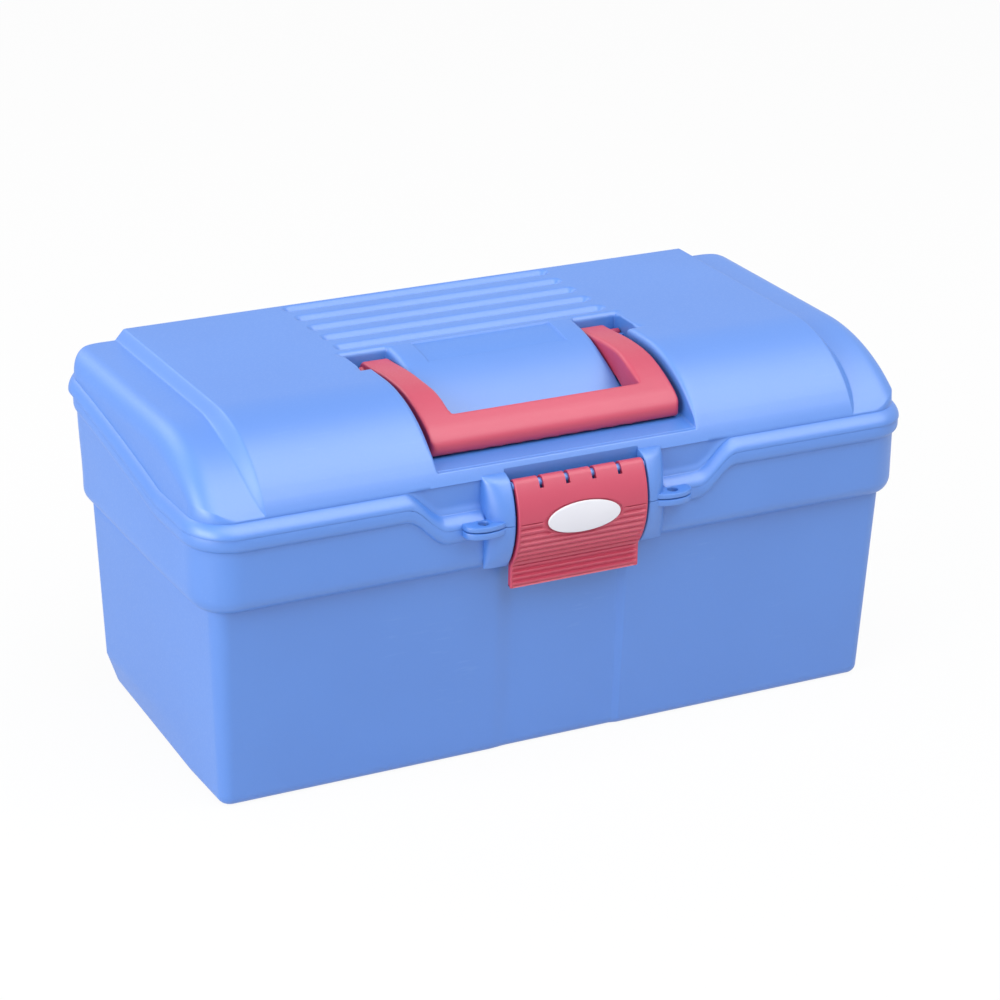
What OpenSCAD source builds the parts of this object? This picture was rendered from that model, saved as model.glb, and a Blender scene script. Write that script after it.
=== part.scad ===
// Horse grooming box: a moulded tub with a hinged lid, a folding carry handle,
// a front latch and a lift-out tray. Front is -Y, length runs along X, floor at Z = 0.

/* [Box] */
// Length over the rim bead
box_l = 400; // [380:1:440]
// Depth over the rim bead, front to back
box_w = 190; // [182:1:210]
// Height of the flat top of the lid
lid_top = 191; // [187:0.5:200]
// Height of the parting line at the front corners
rim_z = 147.7; // [144:0.1:151]
// Height of the shoulder where the band steps out
shoulder_z = 107; // [96:0.5:108]
// Thickness of the moulded walls
wall_t = 2.8; // [2:0.1:3.2]

/* [Tub] */
// How far the lower walls lean in from the shoulder to the floor
base_draft = 5; // [2:0.5:8]
// How far the band steps out at the shoulder
band_step = 8; // [6.5:0.5:9]
// How far the rim bead stands out from the band
bead_out = 2.6; // [1.5:0.1:3.4]
// Height of the tub's half of the bead
bead_h = 7.3; // [5:0.1:8]
// Radius of the upright corners of the lower walls
corner_r = 9; // [8:0.5:14]
// Radius of the upright corners of the band
band_r = 22; // [20:0.5:24]
// Radius of the edge round the floor
floor_r = 4.5; // [3:0.5:6]
// How far the ends of the floor tuck in towards the back
base_tuck = 7; // [0:0.5:10]
// How much higher the parting line is at the back
rim_rise = 21; // [14:0.5:24]
// Distance behind the front bead where the parting line starts to rise
rise_start = 59; // [40:1:70]
// Depth of the dip in the rim at the latch
dip_depth = 14.9; // [10:0.1:16]
// Half length of the level part of the dip
dip_half = 70; // [69:0.5:71.5]
// Length of each S-curve of the dip
dip_run = 22; // [16:1:40]
// Width of the shallow panel under the latch
panel_w = 72; // [50:1:90]
// Depth of that panel
panel_d = 1.8; // [0.6:0.1:2.2]

/* [Lid] */
// How far the dome's front edge is set back from the bead
face_in = 4.8; // [3.5:0.1:6]
// How far the lid's end walls are set back from the bead
end_in = 3.5; // [2:0.1:5]
// Share of the depth over which the front of the lid is domed
dome_share = 0.3526; // [0.32:0.0002:0.37]
// Length of the raised middle of the lid
raised_l = 328.4; // [300:1:344]
// Length of the slope at each end of the raised middle
raised_slope = 7.2; // [4:0.2:9]
// Height of the raised middle above the end parts
raised_h = 5.5; // [3:0.1:7]
// Radius along the top edge of the end walls
end_r = 9; // [5:0.5:11]
// Number of grooves behind the handle
groove_n = 5; // [3:1:5]
// Share of the depth between the first and the last groove
groove_share = 0.341; // [0.3:0.001:0.35]
// Width of a groove
groove_w = 8.4; // [5:0.2:10]
// Depth of a groove
groove_d = 2.2; // [1:0.1:3]
// Distance of the last groove's edge from the back
groove_back = 4.1; // [4:0.1:6]
// Width of the handle well
well_w = 145.4; // [144:0.2:149]
// Depth of the well floor below the lid top
well_drop = 31; // [28:0.5:31.5]
// Distance of the well floor's front edge behind the front bead
well_front = 7.8; // [7:0.1:9]
// Width of the island between the handle arms
island_w = 102; // [90:1:104]
// Gap for the fingers between the grip and the island's foot
finger_gap = 8.3; // [6:0.1:14]
// Depth of the arm slots below the lid top
slot_d = 15.5; // [15:0.1:18]
// Width over the two pockets for the handle pivots
pocket_w = 157; // [155:0.5:164]
// Length of each pocket, front to back
pocket_l = 26; // [24:0.5:27]

/* [Handle] */
// Width over the handle arms
handle_w = 138.6; // [130:0.2:140]
// Gap between the island and each arm
arm_gap = 3.3; // [2.5:0.1:6]
// Thickness of the arms
arm_t = 9.4; // [7:0.2:9.8]
// How far the handle lies below the dome
handle_drop = 2.4; // [1.8:0.1:3]
// Front-to-back depth of the grip
grip_d = 15.5; // [12:0.5:17]
// Radius of the handle's pivot pegs
peg_r = 3; // [2:0.1:3.4]
// Number of finger hollows under the grip
hollow_n = 8; // [4:1:10]

/* [Latch] */
// Width of the latch plate
latch_w = 72.8; // [60:0.2:74]
// Radius of the latch's bulged front
latch_r = 39; // [37:0.5:44]
// Thickness of the latch plate
latch_t = 2.6; // [2:0.1:3]
// Height of the straight finger lip
lip_h = 12.4; // [8:0.2:16]
// Radius of the bar that the latch swings on
bar_r = 2.2; // [1.6:0.1:2.6]
// Number of slots over the bar
slot_n = 4; // [2:1:4]
// Width of the oval badge
badge_w = 40.4; // [30:0.2:46]
// Height of the oval badge
badge_h = 16.2; // [10:0.2:18]
// Diameter of the padlock holes
padlock_d = 5.6; // [4:0.2:6]
// Width of the cheeks beside the latch
cheek_w = 13.2; // [10:0.1:15]

/* [Hinges] */
// Distance between the two hinges
hinge_span = 230; // [160:1:280]
// Length of the middle knuckle of a hinge
knuckle_l = 16; // [10:0.5:24]
// Outside radius of a knuckle
knuckle_r = 4.2; // [3.6:0.1:4.4]
// Radius of the hinge pins
pin_r = 2; // [1.2:0.1:2.6]

/* [Tray] */
// Height of the lift-out tray
tray_h = 20; // [12:0.5:21]
// Thickness of the tray's walls
tray_t = 2; // [1.4:0.1:3]
// Gap between the tray and the walls of the tub
tray_gap = 5; // [4.5:0.1:5.5]

/* [Hidden] */
blue = [0.36, 0.53, 0.88];
red = [0.78, 0.25, 0.32];
white = [0.95, 0.95, 0.96];
steel = [0.70, 0.72, 0.75];
tray_grey = [0.82, 0.84, 0.88];
$fn = 48;

// Overrun of cuts
over = 1;
// Gap across the parting line
part_gap = 0.3;
// Radial running clearance of pins and pegs
run_fit = 0.06;
// Gap between moving pieces side by side
side_gap = 0.5;
// Draft of a moulded step, and the closest two rows of points may come
draft = 0.4;

// Main half sizes
half_l = box_l / 2;
half_w = box_w / 2;
well_hw = well_w / 2;
island_hw = island_w / 2;
pocket_hw = pocket_w / 2;
band_hl = half_l - bead_out;
band_hw = half_w - bead_out;
wall_hl = band_hl - band_step;
wall_hw = band_hw - band_step;
base_hl = wall_hl - base_draft;
base_hw = wall_hw - base_draft;
bead_r = band_r + bead_out;
bead_round = bead_h * 0.45;

// Parting line
rise_y = rise_start - half_w;
rise_bow_share = 0.35;
dip_far = dip_half + dip_run;
dip_shares = [0.62, 0.8, 1];
dip_z = rim_z - dip_depth;
rim_back = rim_z + rim_rise;

function ease(t) = t <= 0 ? 0 : t >= 1 ? 1 : t * t * (3 - 2 * t);
function rise_share(t) = t <= 0 ? 0 : t >= 1 ? 1 : t + rise_bow_share * t * (1 - t);
function rise_at(y) = rim_rise * rise_share((y - rise_y) / (half_w - rise_y));
function dip_at(p) = p[1] < 0 ? dip_depth * (1 - ease((abs(p[0]) - dip_half) / dip_run)) : 0;
function last(list) = len(list) - 1;
function reversed(list) = [for (i = [last(list):-1:0]) list[i]];
function mix(a, b, t) = a + (b - a) * t;

// A closed loop round the box seen from above: front, right end, back, left end.
// xs are the fixed stations along the front, angles the stations on the corners,
// shares the stations along the ends.
function corner_x(h_l, r, a) = h_l - r + r * sin(a);
function loop_front(h_l, y_f, r, xs, angles) = concat(
    [for (a = reversed(angles)) [-corner_x(h_l, r, a), y_f + r - r * cos(a)]],
    [for (x = xs) [x, y_f]],
    [for (a = angles) [corner_x(h_l, r, a), y_f + r - r * cos(a)]]);
function loop_back(h_l, y_b, r, xs, angles) = concat(
    [for (a = reversed(angles)) [corner_x(h_l, r, a), y_b - r + r * cos(a)]],
    [for (x = reversed(xs)) [x, y_b]],
    [for (a = angles) [-corner_x(h_l, r, a), y_b - r + r * cos(a)]]);
function loop(h_l, y_f, y_b, r, xs, angles, shares) = concat(
    loop_front(h_l, y_f, r, xs, angles),
    [for (t = shares) [h_l, mix(y_f + r, y_b - r, t)]],
    loop_back(h_l, y_b, r, xs, angles),
    [for (t = reversed(shares)) [-h_l, mix(y_f + r, y_b - r, t)]]);
function at_height(pts, z) = [for (p = pts) [p[0], p[1], z]];
function on_heights(pts, heights, dz) = [for (i = [0:last(pts)]) [pts[i][0], pts[i][1], heights[i] + dz]];

// Faces of the walls between loops that follow each other, first index given
function walls(count, n, first) = [for (k = [0:count - 2], i = [0:n - 1], h = [0, 1])
    let (a = first + k * n + i, b = first + k * n + (i + 1) % n)
    h == 0 ? [a, a + n, b + n] : [a, b + n, b]];

// The flat part of the front, behind the latch, its cheeks and the padlock ears
ear_reach = 10.4;
cheek_in = latch_w / 2 + side_gap;
ear_x = cheek_in + cheek_w + side_gap + padlock_d / 2;
face_half = ear_x + ear_reach + over + over;
function flat_front(pts, y) = [for (p = pts) p[1] < 0 && abs(p[0]) <= face_half + draft / 2 ? [p[0], y] : p];

// Panel under the latch, a little left of the middle
panel_shift = -2.5;
panel_x0 = panel_shift - panel_w / 2;
panel_x1 = panel_shift + panel_w / 2;
panel_side = panel_d * 0.6;
panel_foot = 9;
tuck_z = 20;
function with_panel(pts) = [for (p = pts)
    p[1] < 0 && p[0] > panel_x0 - draft && p[0] < panel_x1 + draft ? [p[0], p[1] + panel_d] : p];
function tucked(pts, k) = [for (p = pts)
    [p[0] - sign(p[0]) * k * base_tuck * max(0, (p[1] - rise_y) / (half_w - rise_y)) * pow(p[0] / base_hl, 2), p[1]]];

// Tub, from the floor up the outside, over the rim and down the inside
tub_side_xs = concat([for (t = reversed(dip_shares)) dip_half + dip_run * t],
    [pocket_hw, well_hw, dip_half, face_half + draft, face_half]);
tub_xs = concat([for (x = tub_side_xs) -x], [panel_x0 - panel_side, panel_x0, panel_x1, panel_x1 + panel_side],
    reversed(tub_side_xs));
tub_angles = [0, 18, 36, 54, 72, 90];
rise_t_share = (rise_y + half_w - bead_r) / (half_w + band_hw - 2 * bead_r);
tub_shares = [rise_t_share / 3, rise_t_share * 2 / 3, rise_t_share,
    mix(rise_t_share, 1, 0.25), mix(rise_t_share, 1, 0.5), mix(rise_t_share, 1, 0.75)];
ledge_z = shoulder_z + wall_t;
ledge_chamfer = band_step / 4;
inner_r = corner_r - wall_t;
floor_cove = wall_t;

function tub_loop(h_l, h_w, r) = loop(h_l, -h_w, h_w, r, tub_xs, tub_angles, tub_shares);
function bead_loop(out, r) = loop(band_hl + out, -band_hw - out, band_hw, r, tub_xs, tub_angles, tub_shares);
function base_in(h, z, top) = mix(h - base_draft, h, z / top);
function foot_loop(z, in, r) = at_height(with_panel(tucked(tub_loop(
    base_in(wall_hl, z, shoulder_z) - in, base_in(wall_hw, z, shoulder_z) - in, r), 1 - z / tuck_z)), z);

module tub_shell() {
    rims = [for (p = bead_loop(bead_out, bead_r)) rim_z + rise_at(p[1]) - dip_at(p)];
    floor_edge = [for (a = [0, 30, 60, 90]) let (in = floor_r * (1 - sin(a)), z = floor_r * (1 - cos(a)))
        at_height(tucked(tub_loop(base_hl - in, base_hw - in, corner_r - in), 1 - z / tuck_z), z)];
    foot = [for (z = [panel_foot, tuck_z]) foot_loop(z, 0, corner_r)];
    shoulder = at_height(with_panel(tub_loop(wall_hl, wall_hw, corner_r)), shoulder_z);
    round = [for (a = [22.5, 45, 67.5, 90]) let (out = band_step * sin(a))
        at_height(tub_loop(wall_hl + out, wall_hw + out, mix(corner_r, band_r, out / band_step)),
            shoulder_z + band_step * (1 - cos(a)))];
    bead = [for (a = [0, 30, 60, 90]) let (out = bead_out * sin(a))
        on_heights(flat_front(bead_loop(out, mix(band_r, bead_r, sin(a))), -band_hw), rims,
            bead_round * (1 - cos(a)) - bead_h)];
    rim = on_heights(flat_front(bead_loop(bead_out, bead_r), -band_hw), rims, -part_gap / 2);
    rim_in = on_heights(tub_loop(band_hl - wall_t, band_hw - wall_t, band_r - wall_t), rims, -part_gap / 2);
    band_in = at_height(tub_loop(band_hl - wall_t, band_hw - wall_t, band_r - wall_t),
        ledge_z + ledge_chamfer);
    ledge_hl = band_hl - wall_t - ledge_chamfer;
    ledge_hw = band_hw - wall_t - ledge_chamfer;
    ledge_out = at_height(tub_loop(ledge_hl, ledge_hw, band_r - wall_t - ledge_chamfer), ledge_z);
    ledge_in = at_height(with_panel(tub_loop(wall_hl - wall_t, wall_hw - wall_t, inner_r)), ledge_z);
    foot_in = [for (z = [tuck_z, panel_foot]) foot_loop(z, wall_t, inner_r)];
    cove_hl = base_hl - wall_t - draft;
    cove_hw = base_hw - wall_t - draft;
    cove = at_height(tucked(tub_loop(cove_hl, cove_hw, inner_r), 1), wall_t + floor_cove);
    floor_in = at_height(tucked(tub_loop(cove_hl - floor_cove, cove_hw - floor_cove, inner_r - floor_cove), 1),
        wall_t);
    loops = concat(floor_edge, foot, [shoulder], round, bead,
        [rim, rim_in, band_in, ledge_out, ledge_in], foot_in, [cove, floor_in]);
    n = len(rims);
    top = (len(loops) - 1) * n;
    under = len(loops) * n;
    color(blue) polyhedron(
        points = concat([for (l = loops) each l], [[0, 0, 0], [0, 0, wall_t]]),
        faces = concat(
            [for (i = [0:n - 1]) [i, (i + 1) % n, under]],
            walls(len(loops), n, 0),
            [for (i = [0:n - 1]) [top + (i + 1) % n, top + i, under + 1]]));
}

// Lid: plan, front edge and profiles
lid_hl = half_l - end_in;
lid_yf = -half_w + face_in;
lid_yb = half_w - part_gap - draft / 2;
lid_back = half_w - part_gap;
lid_r = bead_r - face_in;
edge_h = 4.9;
edge_z = rim_z + edge_h;
end_top = lid_top - raised_h;
dome_full_share = 1.045;
end_full_share = 1.14;
end_run_share = 1.12;
back_r = 3;
dome_run = box_w * dome_share;
dome_y = -half_w + dome_run;
end_y = -half_w + dome_run * end_run_share;

// Height of an ellipse arc that falls from top at y0 to z_edge at the front edge
function arc_drop(y, y0, a) = 1 - sqrt(max(0, 1 - pow(min(0, y - y0) / a, 2)));
function arc_at(y, y0, top, full) = let (a = (y0 - lid_yf) * full)
    top - (top - edge_z) * arc_drop(y, y0, a) / arc_drop(lid_yf, y0, a);
function dome_at(y) = arc_at(y, dome_y, lid_top, dome_full_share);
function end_at(y) = arc_at(y, end_y, end_top, end_full_share);

// Handle well, island, slots and pockets
well_yf = -half_w + well_front;
well_z = lid_top - well_drop;
peg_back = 10;
groove_pitch = box_w * groove_share / (groove_n - 1);
pocket_yb = half_w - groove_back - groove_pitch * (groove_n - 1) - groove_w - over - over;
pocket_yf = pocket_yb - pocket_l;
grip_in = 20.8;
grip_y = -half_w + grip_in;
grip_back_y = grip_y + grip_d;
island_run = pocket_yb - grip_back_y - finger_gap;
island_r = (island_run * island_run + well_drop * well_drop) / (2 * well_drop);
function slot_at(y) = max(well_z, dome_at(y - grip_d) - slot_d);
function island_at(y) = let (dy = min(island_r, max(0, pocket_yb - y)))
    max(well_z, lid_top - island_r + sqrt(island_r * island_r - dy * dy));
function groove_y(k) = half_w - groove_back - groove_w / 2 - groove_pitch * k;

// Notch for the rolled top of the latch
notch_hw = latch_w / 2 + side_gap + side_gap;
notch_step = 1.6;
notch_yf = lid_yf + notch_step;

// Lines across the lid, front to back: place outside, place inside.
// One line meets the ends where the parting line starts to rise.
rise_line_share = (rise_y - lid_yf - lid_r) / (lid_back - lid_yf - 2 * lid_r);
rise_line = mix(lid_yf, lid_back, rise_line_share);
line_space = 3;
dome_shares = [0.12, 0.24, 0.38, 0.54, 0.7, 0.86, 1];
flat_shares = [0.35, 0.7];
dome_lines = concat([for (t = dome_shares) mix(well_yf, dome_y, t)],
    [for (t = flat_shares) mix(dome_y, pocket_yf - wall_t, t)]);
open_lines = concat([for (y = dome_lines) if (y < rise_line - line_space) [y, y]],
    [[rise_line, rise_line]],
    [for (y = dome_lines) if (y > rise_line + line_space) [y, y]]);
lid_lines = concat(
    [[lid_yf, lid_yf + wall_t], [well_yf, well_yf + wall_t], [well_yf + draft, well_yf + wall_t + draft]],
    open_lines,
    [[pocket_yf - draft, pocket_yf - draft - wall_t], [pocket_yf, pocket_yf - wall_t]],
    [[pocket_yf + pocket_l / 2, pocket_yf + pocket_l / 2]],
    [[pocket_yb - draft, pocket_yb - draft + wall_t / 2], [pocket_yb, pocket_yb + wall_t / 2]],
    [for (k = [groove_n - 1:-1:0], s = [-0.5, -0.2, 0.2, 0.5])
        let (y = groove_y(k) + s * groove_w, t = (y - pocket_yb) / (lid_yb - back_r - pocket_yb))
            [y, mix(pocket_yb + wall_t / 2, lid_yb - back_r - wall_t, t)]],
    [for (a = [0, 45, 90]) let (y = lid_yb - back_r * (1 - sin(a)))
        [y - cos(a) * draft / 10, y - wall_t]],
    [[lid_back, lid_back - wall_t]]);
line_first_groove = 3 + len(open_lines) + 2 + 1 + 2;
line_back = line_first_groove + 4 * groove_n;

// Stations along the lid from the middle to the end: place outside, place inside, zone.
// Zones: 0 island, 1 slot, 2 beside the pocket, 3 raised middle, 4 end part.
lid_half = concat(
    [[notch_hw, notch_hw + wall_t, 0], [notch_hw + draft, notch_hw + draft + wall_t, 0]],
    [[island_hw - draft, island_hw - draft - wall_t, 0], [island_hw, island_hw - wall_t, 1]],
    [[face_half, face_half, 1], [face_half + draft, face_half + draft, 1], [dip_half, dip_half, 1]],
    [[well_hw - draft, well_hw - draft + wall_t, 1], [well_hw, well_hw + wall_t, 2]],
    [[pocket_hw - draft, pocket_hw - draft + wall_t, 2], [pocket_hw, pocket_hw + wall_t, 3]],
    [for (t = dip_shares) let (x = dip_half + dip_run * t) [x, x, 3]],
    [[raised_l / 2, raised_l / 2 - wall_t / 2, 3], [raised_l / 2 + raised_slope, raised_l / 2 + raised_slope - wall_t / 2, 4]]);
lid_angles = [12, 34, 54, 72, 84, 90];
lid_stations = concat(
    [for (s = reversed(lid_half)) [-s[0], -s[1], s[2]]],
    lid_half);
lid_m = len(lid_stations) + 2 * len(lid_angles) - 1;
lid_n = len(lid_lines) - 1;
corner_n = len(lid_angles);

// One point of the lid's skin; side 0 is outside and 1 inside
function skin_angle(i) = i < corner_n ? lid_angles[corner_n - 1 - i]
    : i > lid_m - corner_n ? lid_angles[i - lid_m + corner_n - 1] : -1;
function skin_x(i, side) = let (a = skin_angle(i), h = lid_hl - side * wall_t, r = lid_r - side * wall_t)
    a < 0 ? lid_stations[i - corner_n][side] : (i < corner_n ? -1 : 1) * corner_x(h, r, a);
function skin_zone(i) = skin_angle(i) < 0 ? lid_stations[i - corner_n][2] : 4;
function skin_in(i, side) = let (a = skin_angle(i), r = lid_r - side * wall_t) a < 0 ? 0 : r - r * cos(a);
function notched(i) = skin_angle(i) < 0 && abs(lid_stations[i - corner_n][0]) <= notch_hw + draft / 2;
function skin_yf(i, side) = (notched(i) ? notch_yf : lid_yf) + side * wall_t + skin_in(i, side);
function skin_yb(i, side) = lid_back - side * wall_t - skin_in(i, side);
function skin_y(i, j, side) = j == 0 ? skin_yf(i, side)
    : let (y = lid_lines[j][side], y0 = lid_lines[0][side], y1 = lid_lines[lid_n][side])
    skin_angle(i) < 0 ? y : mix(skin_yf(i, side), skin_yb(i, side), (y - y0) / (y1 - y0));
function groove_at(j, zone) = zone > 2 || j < line_first_groove || j >= line_back ? 0
    : [0, groove_d, groove_d, 0][(j - line_first_groove) % 4];
function in_well(y) = y > well_yf + draft / 2 && y < pocket_yb - draft / 2;
function in_pocket(y) = y > pocket_yf - draft / 2 && y < pocket_yb - draft / 2;
function end_drop(x) = let (d = max(0, abs(x) - lid_hl + end_r)) end_r - sqrt(max(0, end_r * end_r - d * d));
function zone_z(zone, y, x) = zone == 0 && in_well(y) ? island_at(y)
    : zone == 1 && in_well(y) ? slot_at(y)
    : zone == 2 && in_pocket(y) ? slot_at(y)
    : zone == 4 ? end_at(y) - end_drop(x)
    : dome_at(y);
function back_drop(j) = j < line_back ? 0 : back_r * (1 - cos([0, 45, 90, 90][j - line_back]));
function rise_edge(y) = edge_z + rise_at(y);
function skin_edge(i, j) = i == 0 || i == lid_m || j == 0 || j == lid_n;
function skin_z(i, j, side) = let (
        y = skin_y(i, j, 0),
        zone = skin_zone(i),
        z = zone_z(zone, lid_lines[j][0], skin_x(i, 0)),
        under = zone < 3 && j >= line_first_groove && j <= line_back ? groove_d : 0,
        free = zone == 4 && skin_angle(i) >= 0 ? end_at(y) - end_drop(skin_x(i, 0)) : z)
    skin_edge(i, j) ? rise_edge(y) - side * wall_t / 2
    : side == 0 ? free - groove_at(j, zone) - back_drop(j)
    : max(free - wall_t - under - back_drop(j) - slope_extra(y, zone), rise_edge(y) - wall_t / 4);
function slope_extra(y, zone) = zone < 3 ? 0 : wall_t * 0.75 * ease((dome_y - y) / (dome_y - lid_yf));
function skin(side) = [for (i = [0:lid_m], j = [0:lid_n]) [skin_x(i, side), skin_y(i, j, side), skin_z(i, j, side)]];
function skin_index(i, j) = i * (lid_n + 1) + j;
function skin_faces(first, up) = [for (i = [0:lid_m - 1], j = [0:lid_n - 1], h = [0, 1])
    let (a = first + skin_index(i, j), b = first + skin_index(i + 1, j),
        c = first + skin_index(i + 1, j + 1), d = first + skin_index(i, j + 1),
        slash = (i < lid_m / 2) == (j < lid_n / 2),
        f = slash ? (h == 0 ? [a, d, c] : [a, c, b]) : (h == 0 ? [a, d, b] : [d, c, b]))
    up ? f : [f[0], f[2], f[1]]];
skin_border = concat(
    [for (i = [0:lid_m]) skin_index(i, 0)],
    [for (j = [1:lid_n - 1]) skin_index(lid_m, j)],
    [for (i = [lid_m:-1:0]) skin_index(i, lid_n)],
    [for (j = [lid_n - 1:-1:1]) skin_index(0, j)]);

// A loop of the lid's rim, out = 0 at the lid's face and 1 at the bead's crest
function lid_rim(border, out, side) = [for (p = border)
    let (flat = p[1] < 0 && abs(p[0]) <= face_half + draft / 2,
        back = p[1] > lid_back - lid_r - over && abs(p[0]) < lid_hl - lid_r,
        k = flat || back ? 0 : out,
        cx = lid_hl - lid_r, cyf = lid_yf + lid_r, cyb = lid_back - lid_r,
        dx = sign(p[0]) * max(0, abs(p[0]) - cx) / lid_r,
        dy = p[1] < cyf ? (p[1] - cyf) / lid_r : p[1] > cyb ? (p[1] - cyb) / lid_r : 0)
    [p[0] + k * dx * end_in, p[1] + k * dy * (p[1] < 0 ? face_in : end_in * 0.1)]];

module lid_shell() {
    outer = skin(0);
    inner = skin(1);
    n_skin = len(outer);
    border = [for (k = skin_border) outer[k]];
    border_in = [for (k = skin_border) inner[k]];
    crest = lid_rim(border, 1, 0);
    rims = [for (p = crest) rim_z + rise_at(p[1]) - dip_at(p)];
    bead = [for (a = [0, 35, 65, 90])
        on_heights(lid_rim(border, sin(a), 0), rims, mix(edge_h - draft, bead_round / 2, 1 - cos(a)))];
    rim = on_heights(crest, rims, part_gap / 2);
    n = len(border);
    rim_low = [for (i = [0:n - 1]) abs(border[i][0]) < lid_hl - lid_r ? [border[i][0], border_in[i][1]] : border_in[i]];
    rim_in = on_heights(rim_low, rims, part_gap / 2);
    loops = concat(bead, [rim, rim_in]);
    first = n_skin;
    inner_first = n_skin + len(loops) * n;
    joined_top = [for (i = [0:n - 1], h = [0, 1]) let (b = (i + 1) % n)
        h == 0 ? [skin_border[i], skin_border[b], first + b] : [skin_border[i], first + b, first + i]];
    last_loop = first + (len(loops) - 1) * n;
    joined_in = [for (i = [0:n - 1], h = [0, 1]) let (b = (i + 1) % n)
        h == 0 ? [last_loop + i, last_loop + b, inner_first + skin_border[b]]
        : [last_loop + i, inner_first + skin_border[b], inner_first + skin_border[i]]];
    sides = [for (f = walls(len(loops), n, first)) [f[0], f[2], f[1]]];
    color(blue) polyhedron(
        points = concat(outer, [for (l = loops) each l], inner),
        faces = concat(skin_faces(0, true), joined_top, sides, joined_in, skin_faces(inner_first, false)));
}

// Latch geometry in the YZ plane: bar, bulged front and lip
bar_in = 0.4;
bar_rise = 3.1;
bow_out = 3.8;
bow_drop = 18.3;
neck_drop = 24;
hook_rise = 8;
catch_out = 3.2;
bar_y = -half_w + bar_in;
bar_z = rim_z + bar_rise;
roll_r = bar_r + latch_t;
arc_y = bar_y - roll_r - bow_out + latch_r;
arc_z = bar_z - bow_drop;
neck_z = arc_z - neck_drop;
lip_z = neck_z - lip_h;
neck_y = arc_y - sqrt(latch_r * latch_r - pow(arc_z - neck_z, 2));
hook_z = neck_z + hook_rise;
hook_h = 3.6;
catch_z = hook_z + hook_h + part_gap;
catch_h = 5;
catch_y = -band_hw - catch_out;
hook_y = catch_y - part_gap;

// Cheeks beside the latch and the padlock ears
cheek_back = 0.9;
cheek_rise = 3.4;
cheek_lift = 1.2;
cheek_top = edge_z + cheek_rise;
cheek_low = neck_z + cheek_lift;
ear_out = 2.6;
ear_y = -half_w - ear_out;
ear_front = 6.4;
lid_ear_t = 2.6;
tub_ear_t = 3.4;

// Turns an outline drawn in the YZ plane into a solid of length l along X, from x0
module along_x(x0, l) {
    translate([x0, 0, 0]) rotate([90, 0, 90]) linear_extrude(l) children();
}

// Round-fronted column, right-hand side, between two heights, back face at y_back
module cheek_column(z0, z1, y_back) {
    intersection() {
        along_x(cheek_in, cheek_w) intersection() {
            translate([arc_y, arc_z]) circle(latch_r - cheek_back, $fn = 96);
            translate([arc_y - latch_r, z0]) square([y_back - arc_y + latch_r, z1 - z0]);
        }
        translate([cheek_in, y_back, z0]) linear_extrude(z1 - z0) polygon(concat(
            [[0, 0], [0, arc_y - latch_r - y_back]],
            [for (a = [0:15:90]) [cheek_w * sin(a), (arc_y - latch_r - y_back) * cos(a)]]));
    }
}

module padlock_ear(z0, t, y_back) {
    root_x = cheek_in + cheek_w / 2;
    difference() {
        translate([0, 0, z0]) linear_extrude(t) polygon(concat(
            [[root_x, y_back], [ear_x + ear_reach, y_back]],
            [for (a = [0:15:90]) [ear_x + ear_reach * cos(a), ear_y - ear_front * sin(a)]],
            [[root_x, ear_y - ear_front]]));
        translate([ear_x, ear_y, z0 - over]) cylinder(h = t + over + over, r = padlock_d / 2);
    }
}

module tub_cheek_right() {
    color(blue) {
        cheek_column(cheek_low, dip_z - part_gap / 2, -band_hw);
        padlock_ear(dip_z - part_gap / 2 - tub_ear_t, tub_ear_t, -band_hw);
    }
}
module tub_cheek_left() {
    mirror([1, 0, 0]) tub_cheek_right();
}
module lid_cheek_right() {
    color(blue) {
        cheek_column(dip_z + part_gap / 2, cheek_top, lid_yf);
        padlock_ear(dip_z + part_gap / 2, lid_ear_t, lid_yf);
    }
}
module lid_cheek_left() {
    mirror([1, 0, 0]) lid_cheek_right();
}

// Lip on the tub that the latch snaps under
catch_w = latch_w * 0.8;
module tub_catch() {
    color(blue) along_x(-catch_w / 2, catch_w) polygon([
        [-band_hw, catch_z], [catch_y, catch_z], [catch_y, catch_z + catch_h / 3],
        [-band_hw, catch_z + catch_h]]);
}

module latch_bar() {
    color(blue) along_x(-cheek_in, 2 * cheek_in) translate([bar_y, bar_z]) circle(bar_r);
}

// Latch plate: rolled top, bulged front, finger lip, ribs and hook
rib_n = 5;
rib_r = 0.55;
rib_step = 3.4;
lip_rib_step = 2.5;
slot_pitch = latch_w / (slot_n + 1);
slot_w = 2.4;
slot_h = 6.5;
badge_drop = 0.4;
badge_z = arc_z - badge_drop;
badge_t = 0.8;
badge_gap = 0.3;
rib_top = arc_z - rib_step / 2;

module latch_bow(r, t) {
    intersection() {
        translate([arc_y, arc_z]) difference() {
            circle(r, $fn = 96);
            circle(r - t, $fn = 96);
        }
        translate([arc_y - latch_r - over, neck_z])
            square([latch_r + over + bar_y - arc_y, bar_z + roll_r / 2 - neck_z]);
    }
}
module latch_section() {
    difference() {
        union() {
            translate([bar_y, bar_z]) circle(roll_r);
            difference() {
                latch_bow(latch_r, latch_t);
                translate([bar_y, bar_z]) circle(roll_r);
            }
            translate([neck_y, lip_z]) square([latch_t, neck_z - lip_z + latch_t / 2]);
            translate([hook_y - latch_t, hook_z]) square([latch_t, hook_h]);
        }
        translate([bar_y, bar_z]) circle(bar_r + run_fit);
    }
}
module latch_ribs() {
    for (k = [0:rib_n - 1]) {
        a = asin((arc_z - rib_top + k * rib_step) / latch_r);
        translate([arc_y - latch_r * cos(a), rib_top - k * rib_step]) circle(rib_r, $fn = 16);
    }
    for (k = [1:rib_n - 1])
        translate([neck_y, neck_z - k * lip_rib_step]) circle(rib_r, $fn = 16);
}
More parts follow.
